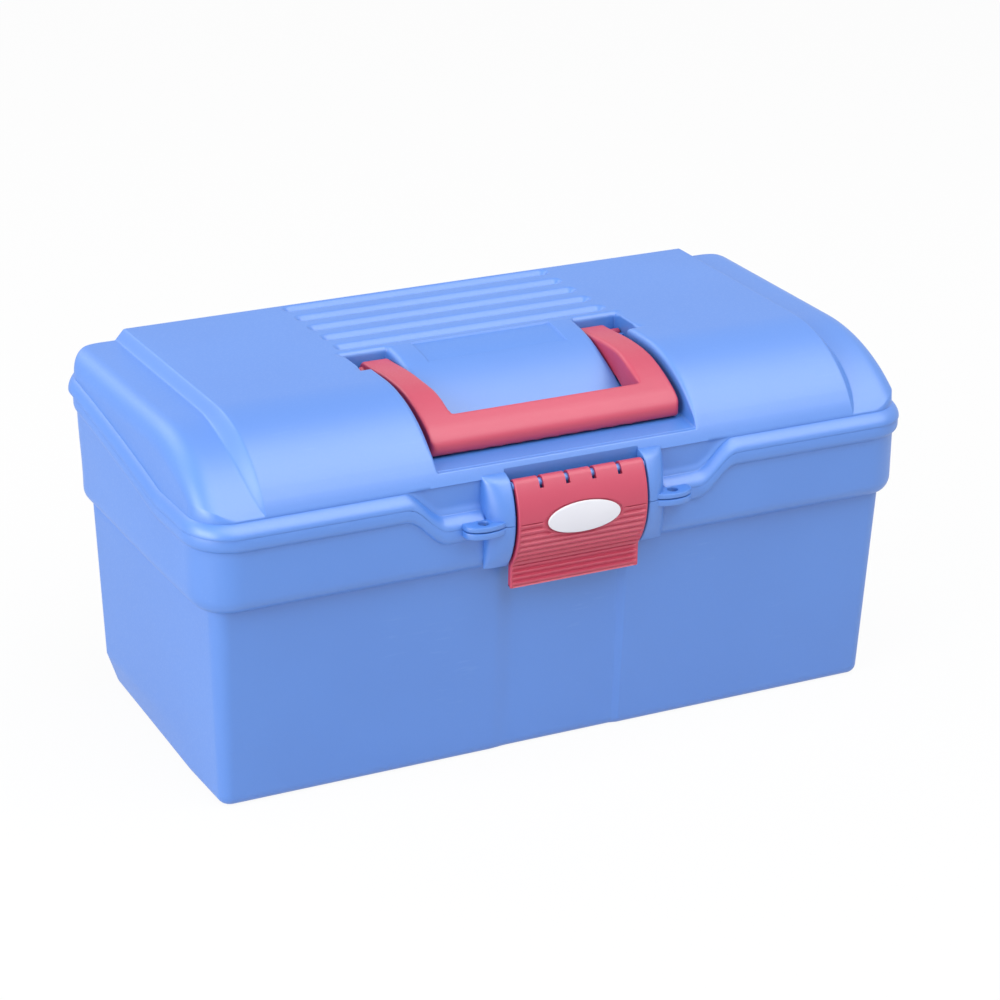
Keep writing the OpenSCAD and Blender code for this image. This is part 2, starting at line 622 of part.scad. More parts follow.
module badge_oval(grow) {
    translate([0, arc_y, badge_z]) rotate([90, 0, 0]) linear_extrude(latch_r + over) polygon(
        [for (a = [0:10:350]) [(badge_w / 2 + grow) * cos(a), (badge_h / 2 + grow) * sin(a)]]);
}
module latch() {
    color(red) difference() {
        union() {
            along_x(-latch_w / 2, latch_w) latch_section();
            difference() {
                along_x(-latch_w / 2, latch_w) difference() {
                    latch_ribs();
                    translate([arc_y, arc_z]) circle(latch_r - latch_t / 2, $fn = 96);
                }
                badge_oval(badge_gap);
            }
        }
        for (k = [0:slot_n - 1])
            translate([(k - (slot_n - 1) / 2) * slot_pitch - slot_w / 2, bar_y - latch_r, bar_z - slot_h / 3])
                cube([slot_w, latch_r, slot_h + roll_r]);
    }
}
module latch_badge() {
    color(white) intersection() {
        badge_oval(0);
        along_x(-badge_w, 2 * badge_w) translate([arc_y, arc_z]) difference() {
            circle(latch_r + badge_t, $fn = 96);
            circle(latch_r, $fn = 96);
        }
    }
}

// Handle: arms that follow the dome, a deeper grip and two pivot pegs
peg_y = pocket_yb - peg_back;
peg_drop = 1.6;
grip_lift = 4;
arm_w = handle_w / 2 - island_hw - arm_gap;
peg_z = lid_top - handle_drop - arm_t / 2 - peg_drop;
arm_end_r = arm_t / 2;
grip_low = well_z + grip_lift;
grip_round = 4;
peg_l = pocket_hw - handle_w / 2 - side_gap;
hollow_r = 9;
hollow_d = 1.2;
function handle_z(y) = min(dome_at(y) - handle_drop, mix(peg_z + arm_t / 2, lid_top - handle_drop,
    min(1, (peg_y - y) / arm_w)));
arm_ys = [for (t = [0, 0.12, 0.24, 0.38, 0.52, 0.66, 0.8, 1]) mix(grip_y, peg_y, t)];

module arm_section() {
    union() {
        polygon(concat(
            [for (y = arm_ys) [y, handle_z(y)]],
            [for (y = reversed(arm_ys)) [y, max(handle_z(y) - arm_t, grip_low)]]));
        translate([peg_y, peg_z]) circle(arm_end_r);
    }
}
module grip_section() {
    front_z = handle_z(grip_y);
    polygon(concat(
        [for (t = [0, 0.33, 0.67, 1]) let (y = mix(grip_y, grip_back_y, t)) [y, handle_z(y)]],
        [[grip_back_y - grip_round / 4, mix(front_z, grip_low, 0.35)]],
        [[grip_back_y - grip_round, grip_low], [grip_y + grip_round / 2, grip_low]],
        [[grip_y - grip_round / 8, grip_low + grip_round]]));
}
module carry_handle() {
    color(red) {
        difference() {
            intersection() {
                union() {
                    for (s = [-1, 1])
                        along_x(s * (handle_w - arm_w) / 2 - arm_w / 2, arm_w) arm_section();
                    along_x(-handle_w / 2 + draft, handle_w - 2 * draft) grip_section();
                }
                translate([-handle_w / 2, grip_y - grip_round, well_z])
                    linear_extrude(lid_top - well_z) polygon(concat(
                        [for (a = [180:15:270]) [grip_round + grip_round * cos(a), grip_round + grip_round * sin(a)]],
                        [for (a = [270:15:360])
                            [handle_w - grip_round + grip_round * cos(a), grip_round + grip_round * sin(a)]],
                        [[handle_w, box_w], [0, box_w]]));
            }
            for (k = [0:hollow_n - 1]) {
                pitch = (handle_w - 2 * arm_w) / hollow_n;
                translate([(k - (hollow_n - 1) / 2) * pitch, grip_y - over, grip_low - hollow_r + hollow_d])
                    rotate([-90, 0, 0]) cylinder(h = grip_d + over, r = hollow_r);
            }
        }
        for (s = [-1, 1])
            along_x(s * (handle_w + peg_l) / 2 - peg_l / 2, peg_l) translate([peg_y, peg_z]) circle(peg_r);
    }
}

// Seats in the pockets that carry the handle's pegs
seat_x = well_hw + side_gap / 2;
seat_w = pocket_hw - draft - seat_x - side_gap / 2;
seat_wall = 2.2;
module handle_seat_right() {
    slot_floor = slot_at(peg_y);
    color(blue) along_x(seat_x, seat_w) difference() {
        union() {
            translate([peg_y, peg_z]) circle(peg_r + seat_wall);
            translate([peg_y - peg_r - seat_wall, slot_floor])
                square([2 * (peg_r + seat_wall), peg_z - slot_floor]);
        }
        translate([peg_y, peg_z]) circle(peg_r + run_fit);
    }
}
module handle_seat_left() {
    mirror([1, 0, 0]) handle_seat_right();
}

// Hinges at the back
hinge_y = lid_back + knuckle_r + side_gap;
hinge_z = rim_back;
leaf_h = 14;
leaf_w = 2 * knuckle_l;
leaf_t = 2.2;
outer_l = (leaf_w - knuckle_l) / 2 + knuckle_l / 4;
pin_l = knuckle_l + 2 * outer_l + 2 * side_gap;

module knuckle(x0, l) {
    along_x(x0, l) difference() {
        translate([hinge_y, hinge_z]) circle(knuckle_r);
        translate([hinge_y, hinge_z]) circle(pin_r + run_fit);
    }
}
module tub_hinge(x) {
    color(blue) {
        for (s = [-1, 1]) {
            x0 = x + s * (knuckle_l / 2 + side_gap + outer_l / 2) - outer_l / 2;
            knuckle(x0, outer_l);
            along_x(x0, outer_l) difference() {
                polygon([[band_hw, hinge_z - leaf_h], [band_hw, hinge_z - part_gap - knuckle_r / 2],
                    [hinge_y - knuckle_r, hinge_z - knuckle_r / 2], [hinge_y, hinge_z],
                    [hinge_y + knuckle_r * 0.8, hinge_z - knuckle_r * 0.6]]);
                translate([hinge_y, hinge_z]) circle(pin_r + run_fit);
            }
        }
        along_x(x - knuckle_l / 2 - side_gap - outer_l, knuckle_l + 2 * side_gap + 2 * outer_l)
            translate([band_hw, hinge_z - leaf_h]) square([leaf_t, leaf_h / 3]);
    }
}
module lid_hinge(x) {
    color(blue) {
        knuckle(x - knuckle_l / 2, knuckle_l);
        along_x(x - knuckle_l / 2, knuckle_l) difference() {
            polygon([[lid_back, hinge_z + part_gap + knuckle_r / 2],
                [lid_back, hinge_z + leaf_h],
                [hinge_y + knuckle_r * 0.8, hinge_z + knuckle_r * 0.6], [hinge_y, hinge_z]]);
            translate([hinge_y, hinge_z]) circle(pin_r + run_fit);
        }
    }
}
module hinge_pin(x) {
    color(steel) along_x(x - pin_l / 2, pin_l) translate([hinge_y, hinge_z]) circle(pin_r);
}
module tub_hinge_left() {
    tub_hinge(-hinge_span / 2);
}
module tub_hinge_right() {
    tub_hinge(hinge_span / 2);
}
module lid_hinge_left() {
    lid_hinge(-hinge_span / 2);
}
module lid_hinge_right() {
    lid_hinge(hinge_span / 2);
}
module hinge_pin_left() {
    hinge_pin(-hinge_span / 2);
}
module hinge_pin_right() {
    hinge_pin(hinge_span / 2);
}

// Lift-out tray on the shoulder ledge, with a long front bay and three bays behind
tray_hl = band_hl - wall_t - ledge_chamfer - tray_gap / 4;
tray_hw = band_hw - wall_t - tray_gap;
tray_r = band_r - wall_t - tray_gap;
tray_z = ledge_z + part_gap / 10;
bay_n = 3;
front_bay_share = 0.42;
bay_r = 5;

module rounded_rect(x0, y0, x1, y1, r) {
    translate([x0 + r, y0 + r]) offset(r) square([x1 - x0 - 2 * r, y1 - y0 - 2 * r]);
}
module lift_out_tray() {
    split_y = mix(-tray_hw, tray_hw, front_bay_share);
    bay_w = (2 * tray_hl - (bay_n + 1) * tray_t) / bay_n;
    color(tray_grey) translate([0, 0, tray_z]) difference() {
        linear_extrude(tray_h) rounded_rect(-tray_hl, -tray_hw, tray_hl, tray_hw, tray_r);
        translate([0, 0, tray_t]) linear_extrude(tray_h) {
            rounded_rect(-tray_hl + tray_t, -tray_hw + tray_t, tray_hl - tray_t, split_y - tray_t / 2, tray_r - tray_t);
            for (k = [0:bay_n - 1]) {
                x0 = -tray_hl + tray_t + k * (bay_w + tray_t);
                rounded_rect(x0, split_y + tray_t / 2, x0 + bay_w, tray_hw - tray_t, tray_r - tray_t);
            }
        }
    }
}

tub_shell();
tub_catch();
tub_cheek_left();
tub_cheek_right();
tub_hinge_left();
tub_hinge_right();
hinge_pin_left();
hinge_pin_right();
lift_out_tray();
lid_shell();
lid_cheek_left();
lid_cheek_right();
lid_hinge_left();
lid_hinge_right();
latch_bar();
handle_seat_left();
handle_seat_right();
carry_handle();
latch();
latch_badge();
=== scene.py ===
import math

import bmesh
import bpy
import numpy as np
from mathutils import Matrix, Vector


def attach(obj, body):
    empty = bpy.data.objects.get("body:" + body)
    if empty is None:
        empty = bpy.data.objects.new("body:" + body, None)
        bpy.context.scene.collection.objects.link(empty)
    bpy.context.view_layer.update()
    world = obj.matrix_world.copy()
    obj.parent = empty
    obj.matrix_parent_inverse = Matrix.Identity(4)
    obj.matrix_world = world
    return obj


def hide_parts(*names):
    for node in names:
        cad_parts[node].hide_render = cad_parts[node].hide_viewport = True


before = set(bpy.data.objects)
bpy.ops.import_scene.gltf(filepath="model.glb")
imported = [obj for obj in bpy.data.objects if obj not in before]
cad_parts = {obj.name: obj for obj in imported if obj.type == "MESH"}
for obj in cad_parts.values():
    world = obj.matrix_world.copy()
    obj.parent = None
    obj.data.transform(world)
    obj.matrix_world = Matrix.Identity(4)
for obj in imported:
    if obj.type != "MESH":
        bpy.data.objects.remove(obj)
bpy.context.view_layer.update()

# All sizes are millimetres in the frame of the solids: front is -Y, length along X, floor at Z = 0
MM = 0.001
WELD = 0.004
NEAR = 0.01
TINY = 1e-9
CUT_SHARE = 0.45
EDGE_SHARE = 0.3
SHARP_FROM = 38.0

# Outline of the tub and its rim
HALF_L = 200.0
HALF_W = 95.0
BEAD_OUT = 2.6
BAND_L = HALF_L - BEAD_OUT
BAND_W = HALF_W - BEAD_OUT
BAND_STEP = 8.0
WALL_L = BAND_L - BAND_STEP
WALL_W = BAND_W - BAND_STEP
BASE_DRAFT = 5.0
BASE_L = WALL_L - BASE_DRAFT
BASE_W = WALL_W - BASE_DRAFT
CORNER_R = 9.0
BASE_CORNER_R = 6.5
BAND_R = 22.0
BAND_LEAN = 2.3
BAND_LEAN_H = 45.0
LEAN_POWER = 6
BEAD_R = BAND_R + BEAD_OUT
FLOOR_R = 4.5
BASE_TUCK = 7.0
SHOULDER_Z = 107.0
WALL_T = 2.8
LEDGE_Z = SHOULDER_Z + WALL_T
LEDGE_CHAMFER = 2.0
LEDGE_SOFT = 0.6
RIM_SOFT = 0.4
INNER_FLOOR_R = 4.0
INNER_DRAFT = 0.4
BEAD_H = 7.3
BEAD_ROUND = 3.285
BEAD_FOOT = 0.9
BEAD_TOE = 0.25
BEAD_TOE_OUT = 0.12
RIM_Z = 147.7
RIM_RISE = 21.0
RISE_Y = -36.0
RISE_BOW = 0.35
DIP_DEPTH = 14.9
DIP_HALF = 70.0
DIP_RUN = 22.0
PART_GAP = 0.08
PART_EDGE = 0.1
BEAD_STOP = 49.0

# Shallow panel under the latch
PANEL_X0 = -38.5
PANEL_X1 = 36.2
PANEL_SOFT = 12.0
PANEL_EDGE = 3.8
PANEL_D = 2.8
PANEL_LOW_D = 0.9
PANEL_ROUND = 0.1
PANEL_HEAD = 0.6 * BAND_STEP
TUCK_Z = 20.0

# Lid
END_IN = 3.5
FACE_IN = 5.6
LID_L = HALF_L - END_IN
LID_FRONT = -HALF_W + FACE_IN
LID_BACK = HALF_W - PART_GAP
LID_R = BEAD_R - FACE_IN
EDGE_H = 7.0
EDGE_Z = RIM_Z + EDGE_H
LID_TOP = 191.0
END_TOP = 185.5
DOME_Y = -28.0
DOME_FULL = 1.045
END_Y = -19.96
END_FULL = 1.14
END_R = 12.0
BACK_R = 3.0
RAISED_HALF = 163.9
RAISED_SLOPE = 5.8
RAISED_SOFT = 0.1
RAISED_H = 6.7
SLOPE_MIN = 0.4
SLOPE_REACH = 1.2

# Handle well, island, pockets and grooves in the lid
WELL_Z = 160.0
WELL_FRONT = -87.2
WELL_HALF = 72.7
WELL_LIP = 3.0
WELL_FRONT_LIP = 0.6
PINCH_Y = WELL_FRONT - 0.65
POCKET_HALF = 78.5
POCKET_FRONT = -11.8
POCKET_BACK = 12.0
POCKET_LIP = 1.0
LIP_SIDE_Y = POCKET_FRONT + 6.0
LIP_SIDE_RUN = 8.0
LIP_FRONT_RUN = 12.0
LIP_BACK_Y = POCKET_BACK - 4.0
LIP_BACK_RUN = 3.0
SLOT_D = 15.5
GRIP_D = 15.5
ISLAND_R = 86.0
ISLAND_BACK = 15.7
ISLAND_HALF = 53.9
ISLAND_LIP = 3.5
SHELF_H = 2.6
SHELF_Y = -90.0
SHELF_L = 16.6
LABEL_HALF = 39.5
LABEL_FRONT = -7.8
LABEL_BACK = 13.0
LABEL_D = 0.9
LABEL_LIP = 0.4
TOE = 1.0
STEP_DRAFT = 0.25
GROOVES = 5
GROOVE_BACK = 86.7
GROOVE_PITCH = 16.2
GROOVE_HALF = 5.2
GROOVE_D = 2.8
GROOVE_END = 78.9
NOTCH_HALF = 37.4
NOTCH_FRONT = -88.0
FRONT_STEP = 1.2
STEP_HEAD = 0.5
STEP_FOOT = 4.0
BEAD_FULL = 1.7
BEAD_HEAD = 0.6
BACK_BEAD_SHARE = 0.1


# Curves shared by the tub and the lid

def ease(t):
    t = np.clip(t, 0.0, 1.0)
    return t * t * (3.0 - 2.0 * t)


def ramp(t, soft):
    """Straight slope from 0 to 1 with both ends rounded over the share soft."""
    t = np.clip(t, -soft, 1.0 + soft)
    low = (t + soft) ** 2 / (4.0 * soft)
    high = 1.0 - (1.0 + soft - t) ** 2 / (4.0 * soft)
    return np.where(t < soft, low, np.where(t > 1.0 - soft, high, t))


def rise_at(y):
    t = np.clip((y - RISE_Y) / (HALF_W - RISE_Y), 0.0, 1.0)
    return RIM_RISE * (t + RISE_BOW * t * (1.0 - t))


def dip_at(x, y):
    dip = DIP_DEPTH * (1.0 - ease((np.abs(x) - DIP_HALF) / DIP_RUN))
    return np.where(y < 0.0, dip, 0.0)


def rim_at(x, y):
    return RIM_Z + rise_at(y) - dip_at(x, y)


def quarter(r, steps):
    """Distances from the steep end of a rounded edge of radius r, steep end first."""
    a = np.linspace(90.0, 0.0, steps + 1)
    return r * (1.0 - np.sin(np.radians(a)))


def arc_share(t):
    """Fall of a quarter round, 0 to 1 for t from 0 to 1."""
    t = np.clip(t, 0.0, 1.0)
    return 1.0 - np.sqrt(1.0 - t * t)


def round_drop(r, over):
    """How far a rounded edge of radius r has fallen at the distance over past its start."""
    return r * arc_share(over / r)


def level(x, y, z):
    """A row of points; z is one height or a height for each point."""
    return np.column_stack([x, y, np.broadcast_to(z, np.shape(x))])


# Mesh building

class Skin:
    """Collects lattices of points and turns them into one welded mesh."""

    def __init__(self):
        self.points = []
        self.faces = []
        self.count = 0

    def add(self, points):
        points = np.asarray(points, dtype=float).reshape(-1, 3)
        first = self.count
        self.points.append(points)
        self.count += len(points)
        return first

    def lattice(self, points, closed=False, skip=None):
        points = np.asarray(points, dtype=float)
        rows, cols = points.shape[:2]
        index = self.add(points) + np.arange(rows * cols).reshape(rows, cols)
        if closed:
            index = np.concatenate([index, index[:, :1]], axis=1)
        quads = np.stack([index[:-1, :-1], index[:-1, 1:], index[1:, 1:], index[1:, :-1]], axis=-1)
        if skip is not None:
            quads = quads[~skip]
        self.faces.extend(quads.reshape(-1, 4).tolist())

    def fan(self, loop):
        loop = np.asarray(loop, dtype=float)
        first = self.add(loop)
        centre = self.add(loop.mean(axis=0))
        n = len(loop)
        self.faces.extend([first + i, first + (i + 1) % n, centre] for i in range(n))

    def capped(self, rows):
        """A tube of closed rows with both ends covered."""
        self.lattice(np.array(rows), closed=True)
        self.fan(rows[0])
        self.fan(rows[-1])

    def mirrored(self):
        other = Skin()
        for points in self.points:
            other.add(points * np.array([-1.0, 1.0, 1.0]))
        other.faces = [list(reversed(f)) for f in self.faces]
        return other


def piece(name, skin, finish, body, nodes, sharp=SHARP_FROM, patch=None):
    """One visible piece in place of its solids; patch is a second finish and a test for its faces."""
    mesh = bpy.data.meshes.new(name)
    mesh.from_pydata((np.concatenate(skin.points) * MM).tolist(), [], skin.faces)
    bm = bmesh.new()
    bm.from_mesh(mesh)
    bmesh.ops.remove_doubles(bm, verts=bm.verts, dist=WELD * MM)
    bmesh.ops.dissolve_degenerate(bm, edges=bm.edges, dist=WELD * MM)
    bmesh.ops.recalc_face_normals(bm, faces=bm.faces)
    bm.to_mesh(mesh)
    bm.free()
    mesh.shade_smooth()
    mesh.set_sharp_from_angle(angle=math.radians(sharp))
    mesh.materials.append(finish)
    if patch is not None:
        mesh.materials.append(patch[0])
        for face in mesh.polygons:
            face.material_index = int(patch[1](face.center / MM))
    obj = bpy.data.objects.new(name, mesh)
    bpy.context.scene.collection.objects.link(obj)
    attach(obj, body)
    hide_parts(*nodes)
    return obj


def rounded(outline, r, steps=4):
    """A closed outline of (a, b) corners with each corner rounded to radius r."""
    pts = [np.array(p[:2], dtype=float) for p in outline]
    n = len(pts)
    loop = []
    for i in range(n):
        here = pts[i]
        to_a = pts[i - 1] - here
        to_b = pts[(i + 1) % n] - here
        len_a = np.linalg.norm(to_a)
        len_b = np.linalg.norm(to_b)
        cut = min(r, len_a * CUT_SHARE, len_b * CUT_SHARE)
        start = here + to_a / len_a * cut
        end = here + to_b / len_b * cut
        for t in np.linspace(0.0, 1.0, steps + 1):
            loop.append((1 - t) ** 2 * start + 2 * t * (1 - t) * here + t * t * end)
    return np.array(loop)


def shrunk(loop, d):
    """A closed outline moved inwards by d along its own normals."""
    ahead = np.roll(loop, -1, axis=0)
    behind = np.roll(loop, 1, axis=0)
    along = ahead - behind
    normal = np.stack([-along[:, 1], along[:, 0]], axis=1)
    normal /= np.maximum(np.linalg.norm(normal, axis=1, keepdims=True), TINY)
    area = np.sum(loop[:, 0] * ahead[:, 1] - ahead[:, 0] * loop[:, 1])
    return loop + normal * d * np.sign(area)


def along_x(skin, loop, x0, x1, edge):
    """Adds a bar whose (y, z) outline runs from x0 to x1, with rounded end edges."""
    rows = []
    for inset, shift in ((1.0, 0.0), (EDGE_SHARE, EDGE_SHARE), (0.0, 1.0)):
        yz = shrunk(loop, edge * inset)
        rows.append(np.column_stack([np.full(len(yz), x0 + edge * shift), yz]))
    far = []
    for row in rows:
        flipped = row.copy()
        flipped[:, 0] = x0 + x1 - row[:, 0]
        far.append(flipped)
    skin.capped(rows + far[::-1])


def turned_x(skin, rings, y, z):
    """Adds a turned shape about a line along X, from (x, radius) rings."""
    around = np.radians(np.arange(0.0, 360.0, 10.0))
    rows = []
    for x, r in rings:
        rows.append(level(np.full(len(around), x), y + r * np.cos(around), z + r * np.sin(around)))
    skin.capped(rows)


# Finishes

PLASTIC_IOR = 1.56
GRAIN_D = 0.2
MARK_BUMP = 0.15
MARK_D = 0.1


def feed(tree, node, values):
    """Sets a node's inputs, by label or number, or links them where the value is a socket."""
    for label, value in values.items():
        if isinstance(value, bpy.types.NodeSocket):
            tree.links.new(value, node.inputs[label])
        else:
            node.inputs[label].default_value = value


def add_node(tree, kind, values):
    node = tree.nodes.new("ShaderNode" + kind)
    feed(tree, node, values)
    return node


def math_node(tree, kind, a, b):
    node = add_node(tree, "Math", {0: a, 1: b})
    node.operation = kind
    return node.outputs[0]


def noise_node(tree, place, scale, detail, rough=0.5):
    values = {"Vector": place, "Scale": scale, "Detail": detail, "Roughness": rough}
    return add_node(tree, "TexNoise", values).outputs["Fac"]


def spread(tree, value, low, high, to_low=0.0, to_high=1.0):
    node = add_node(tree, "MapRange", {"Value": value, "From Min": low, "From Max": high,
                                       "To Min": to_low, "To Max": to_high})
    node.interpolation_type = "SMOOTHSTEP"
    return node.outputs["Result"]


def mixed(tree, factor, a, b):
    """A colour between a and b."""
    node = add_node(tree, "Mix", {"Factor": factor})
    node.data_type = "RGBA"
    colours = [i for i, socket in enumerate(node.inputs) if socket.type == "RGBA"]
    feed(tree, node, dict(zip(colours, (a, b))))
    return next(socket for socket in node.outputs if socket.type == "RGBA")


def object_place(tree):
    return tree.nodes.new("ShaderNodeTexCoord").outputs["Object"]


def stretched(tree, place, scale, turn=(0.0, 0.0, 0.0)):
    return add_node(tree, "Mapping", {"Vector": place, "Scale": scale, "Rotation": turn}).outputs["Vector"]


def new_group(name, inputs, outputs):
    """A node group of plain numbers; inputs holds their usual values."""
    tree = bpy.data.node_groups.new(name, "ShaderNodeTree")
    for label, value in inputs.items():
        socket = tree.interface.new_socket(label, in_out="INPUT", socket_type="NodeSocketFloat")
        socket.default_value = value
    for label in outputs:
        tree.interface.new_socket(label, in_out="OUTPUT", socket_type="NodeSocketFloat")
    return tree, tree.nodes.new("NodeGroupInput").outputs, tree.nodes.new("NodeGroupOutput")


def add_group(tree, group, label, value):
    node = tree.nodes.new("ShaderNodeGroup")
    node.node_tree = group
    feed(tree, node, {label: value})
    return node.outputs


def new_finish(name):
    finish = bpy.data.materials.new(name)
    finish.use_nodes = True
    return finish, finish.node_tree, finish.node_tree.nodes["Principled BSDF"]


def add_relief(tree, skin, height, strength, distance):
    node = add_node(tree, "Bump", {"Height": height, "Strength": strength, "Distance": distance * MM})
    feed(tree, skin, {"Normal": node.outputs["Normal"]})


def moulded_grain():
    """Fine spark-eroded grain of a moulded skin: a height, a mask of its pits and a slow flow tone."""
    tree, given, result = new_group("moulded grain", {"Scale": 900.0, "Flow": 14.0},
                                    ("Height", "Pits", "Flow Tone"))
    place = object_place(tree)
    grain = noise_node(tree, place, given["Scale"], 3.0, 0.6)
    cell_scale = math_node(tree, "MULTIPLY", given["Scale"], 0.7)
    cells = add_node(tree, "TexVoronoi", {"Vector": place, "Scale": cell_scale})
    pits = spread(tree, cells.outputs["Distance"], 0.1, 0.55)
    bumps = math_node(tree, "MULTIPLY", grain, 0.7)
    height = math_node(tree, "ADD", bumps, math_node(tree, "MULTIPLY", pits, 0.3))
    flow = noise_node(tree, place, given["Flow"], 2.0)
    feed(tree, result, {"Height": height, "Pits": pits, "Flow Tone": flow})
    return tree


def handling_scuffs():
    """Short faint rubs and specks from use: two masks, 1 where the skin is marked."""
    tree, given, result = new_group("handling scuffs", {"Amount": 0.5}, ("Rub", "Speck"))
    place = object_place(tree)
    streak = noise_node(tree, stretched(tree, place, (60.0, 700.0, 420.0), (0.0, 0.1, 0.5)), 1.0, 2.0)
    patch = noise_node(tree, place, 22.0, 3.0)
    rub = math_node(tree, "MULTIPLY", spread(tree, streak, 0.6, 0.72), spread(tree, patch, 0.52, 0.7))
    speck = spread(tree, noise_node(tree, place, 620.0, 1.0), 0.74, 0.8)
    for label, mask in (("Rub", rub), ("Speck", speck)):
        feed(tree, result, {label: math_node(tree, "MULTIPLY", mask, given["Amount"])})
    return tree


GRAIN = moulded_grain()
SCUFFS = handling_scuffs()


def plastic(name, colour, deep, rubbed, rough, grain, bump, scuffs, specular=0.5):
    """Moulded plastic: flow tone, grain, rubs and specks."""
    finish, tree, skin = new_finish(name)
    fine = add_group(tree, GRAIN, "Scale", grain)
    use = add_group(tree, SCUFFS, "Amount", scuffs)
    body = mixed(tree, spread(tree, fine["Flow Tone"], 0.3, 0.7), colour, deep)
    worn = mixed(tree, use["Rub"], body, rubbed)
    matt = math_node(tree, "ADD", math_node(tree, "MULTIPLY", fine["Pits"], 0.06), rough - 0.03)
    dull = math_node(tree, "ADD", matt, math_node(tree, "MULTIPLY", use["Rub"], 0.12))
    feed(tree, skin, {"IOR": PLASTIC_IOR, "Specular IOR Level": specular, "Roughness": dull,
                      "Base Color": mixed(tree, use["Speck"], worn, deep)})
    add_relief(tree, skin, fine["Height"], bump, GRAIN_D)
    return finish


def turned_steel(name):
    """Bright steel wire with fine turning marks along X."""
    finish, tree, skin = new_finish(name)
    place = object_place(tree)
    marks = noise_node(tree, stretched(tree, place, (4000.0, 60.0, 60.0)), 1.0, 2.0)
    stain = noise_node(tree, place, 160.0, 3.0)
    colour = mixed(tree, stain, (0.62, 0.63, 0.65, 1.0), (0.45, 0.46, 0.48, 1.0))
    feed(tree, skin, {"Metallic": 1.0, "Base Color": colour,
                      "Roughness": spread(tree, stain, 0.3, 0.7, 0.25, 0.42)})
    add_relief(tree, skin, marks, MARK_BUMP, MARK_D)
    return finish


BLUE = plastic("blue moulded plastic", (0.053, 0.187, 0.580, 1.0), (0.050, 0.179, 0.562, 1.0),
               (0.094, 0.235, 0.605, 1.0), rough=0.42, grain=900.0, bump=0.10, scuffs=0.35, specular=1.0)
MATT_BLUE = plastic("matt blue label panel", (0.0525, 0.185, 0.572, 1.0), (0.0495, 0.177, 0.555, 1.0),
                    (0.092, 0.230, 0.590, 1.0), rough=0.47, grain=700.0, bump=0.16, scuffs=0.35,
                    specular=0.95)
RED = plastic("red moulded plastic", (0.460, 0.037, 0.085, 1.0), (0.437, 0.034, 0.080, 1.0),
              (0.500, 0.080, 0.128, 1.0), rough=0.42, grain=1000.0, bump=0.08, scuffs=0.35, specular=0.65)
WHITE = plastic("white badge skin", (0.68, 0.68, 0.72, 1.0), (0.65, 0.65, 0.70, 1.0),
                (0.62, 0.62, 0.66, 1.0), rough=0.32, grain=1500.0, bump=0.03, scuffs=0.25)
GREY = plastic("grey tray plastic", (0.36, 0.39, 0.44, 1.0), (0.34, 0.37, 0.42, 1.0),
               (0.42, 0.44, 0.49, 1.0), rough=0.48, grain=900.0, bump=0.10, scuffs=0.4)
STEEL = turned_steel("turned steel")


def blue_piece(name, skin, body, node, sharp=SHARP_FROM, patch=None):
    piece(name, skin, BLUE, body, [node], sharp, patch)


def blue_pair(name, skin, body, node):
    """A moulded feature on the right and its mirror image on the left."""
    blue_piece(name + "_r", skin, body, node + "_right")
    blue_piece(name + "_l", skin.mirrored(), body, node + "_left")


# Tub

OUTER_XS = [49.4, 55, 62, 70, 73.5, 77, 81, 85, 88.5, 92, 96, 104, 114, 126, 138, 150, 162]
PANEL_XS = [-48.6, -44, -40.5, -39, -37.8, -36.5, -35.1, -33.7, -32.3, -30.9, -29.5, -28.1, -26.7, -25.3,
            -20, -12, -4, 4, 12, 20, 27, 30, 31.4, 31.9, 32.2, 32.5, 32.8, 33.2, 34.2, 35.4, 35.8, 36.1,
            36.4, 36.7, 37.2, 38.5, 43, 48.6]
TUB_XS = np.array([-x for x in OUTER_XS[::-1]] + PANEL_XS + OUTER_XS, dtype=float)
TUB_SHARES = np.concatenate([[0.02, 0.06], np.linspace(0.12, 0.88, 17), [0.94, 0.98]])
TUB_ANGLES = np.linspace(0.0, 90.0, 13)
LOW_ZS = (6.0, 7.5, 9.0, 10.5, 12.0, 14.0, 17.0)
WALL_ZS = LOW_ZS + (20.0, 24.0, 32.0, 44.0, 56.0, 68.0, 80.0, 92.0, 100.0, 104.5)
INNER_ZS = (LEDGE_Z - LEDGE_SOFT, 80.0, 50.0, 24.0) + LOW_ZS[:0:-1]


def tub_loop(half_l, front, back, r):
    """A closed loop round the tub seen from above: front, right end, back, left end."""
    a = np.radians(TUB_ANGLES)
    cx = half_l - r + r * np.sin(a)
    cf = front + r - r * np.cos(a)
    cb = back - r + r * np.cos(a)
    side = front + r + (back - front - 2 * r) * TUB_SHARES
    n = len(TUB_XS)
    x = np.concatenate([-cx[::-1], TUB_XS, cx, np.full(len(side), half_l),
                        cx[::-1], TUB_XS[::-1], -cx, np.full(len(side), -half_l)])
    y = np.concatenate([cf[::-1], np.full(n, front), cf, side,
                        cb[::-1], np.full(n, back), cb, side[::-1]])
    return x, y


def panel_depth(x, y, z):
    """Depth of the shallow panel: soft on the left, crisp on the right, shallower towards the floor."""
    left = ease((x - PANEL_X0) / PANEL_SOFT)
    right = ramp((PANEL_X1 - x) / PANEL_EDGE, PANEL_ROUND)
    head = 1.0 - ease((z - SHOULDER_Z) / PANEL_HEAD)
    deep = PANEL_LOW_D + (PANEL_D - PANEL_LOW_D) * np.clip(z / SHOULDER_Z, 0.0, 1.0)
    return np.where(y < 0.0, deep * np.minimum(left, right) * head, 0.0)


def tucked(x, y, k):
    share = np.clip((y - RISE_Y) / (HALF_W - RISE_Y), 0.0, None)
    return x - np.sign(x) * k * BASE_TUCK * share * (x / BASE_L) ** 2


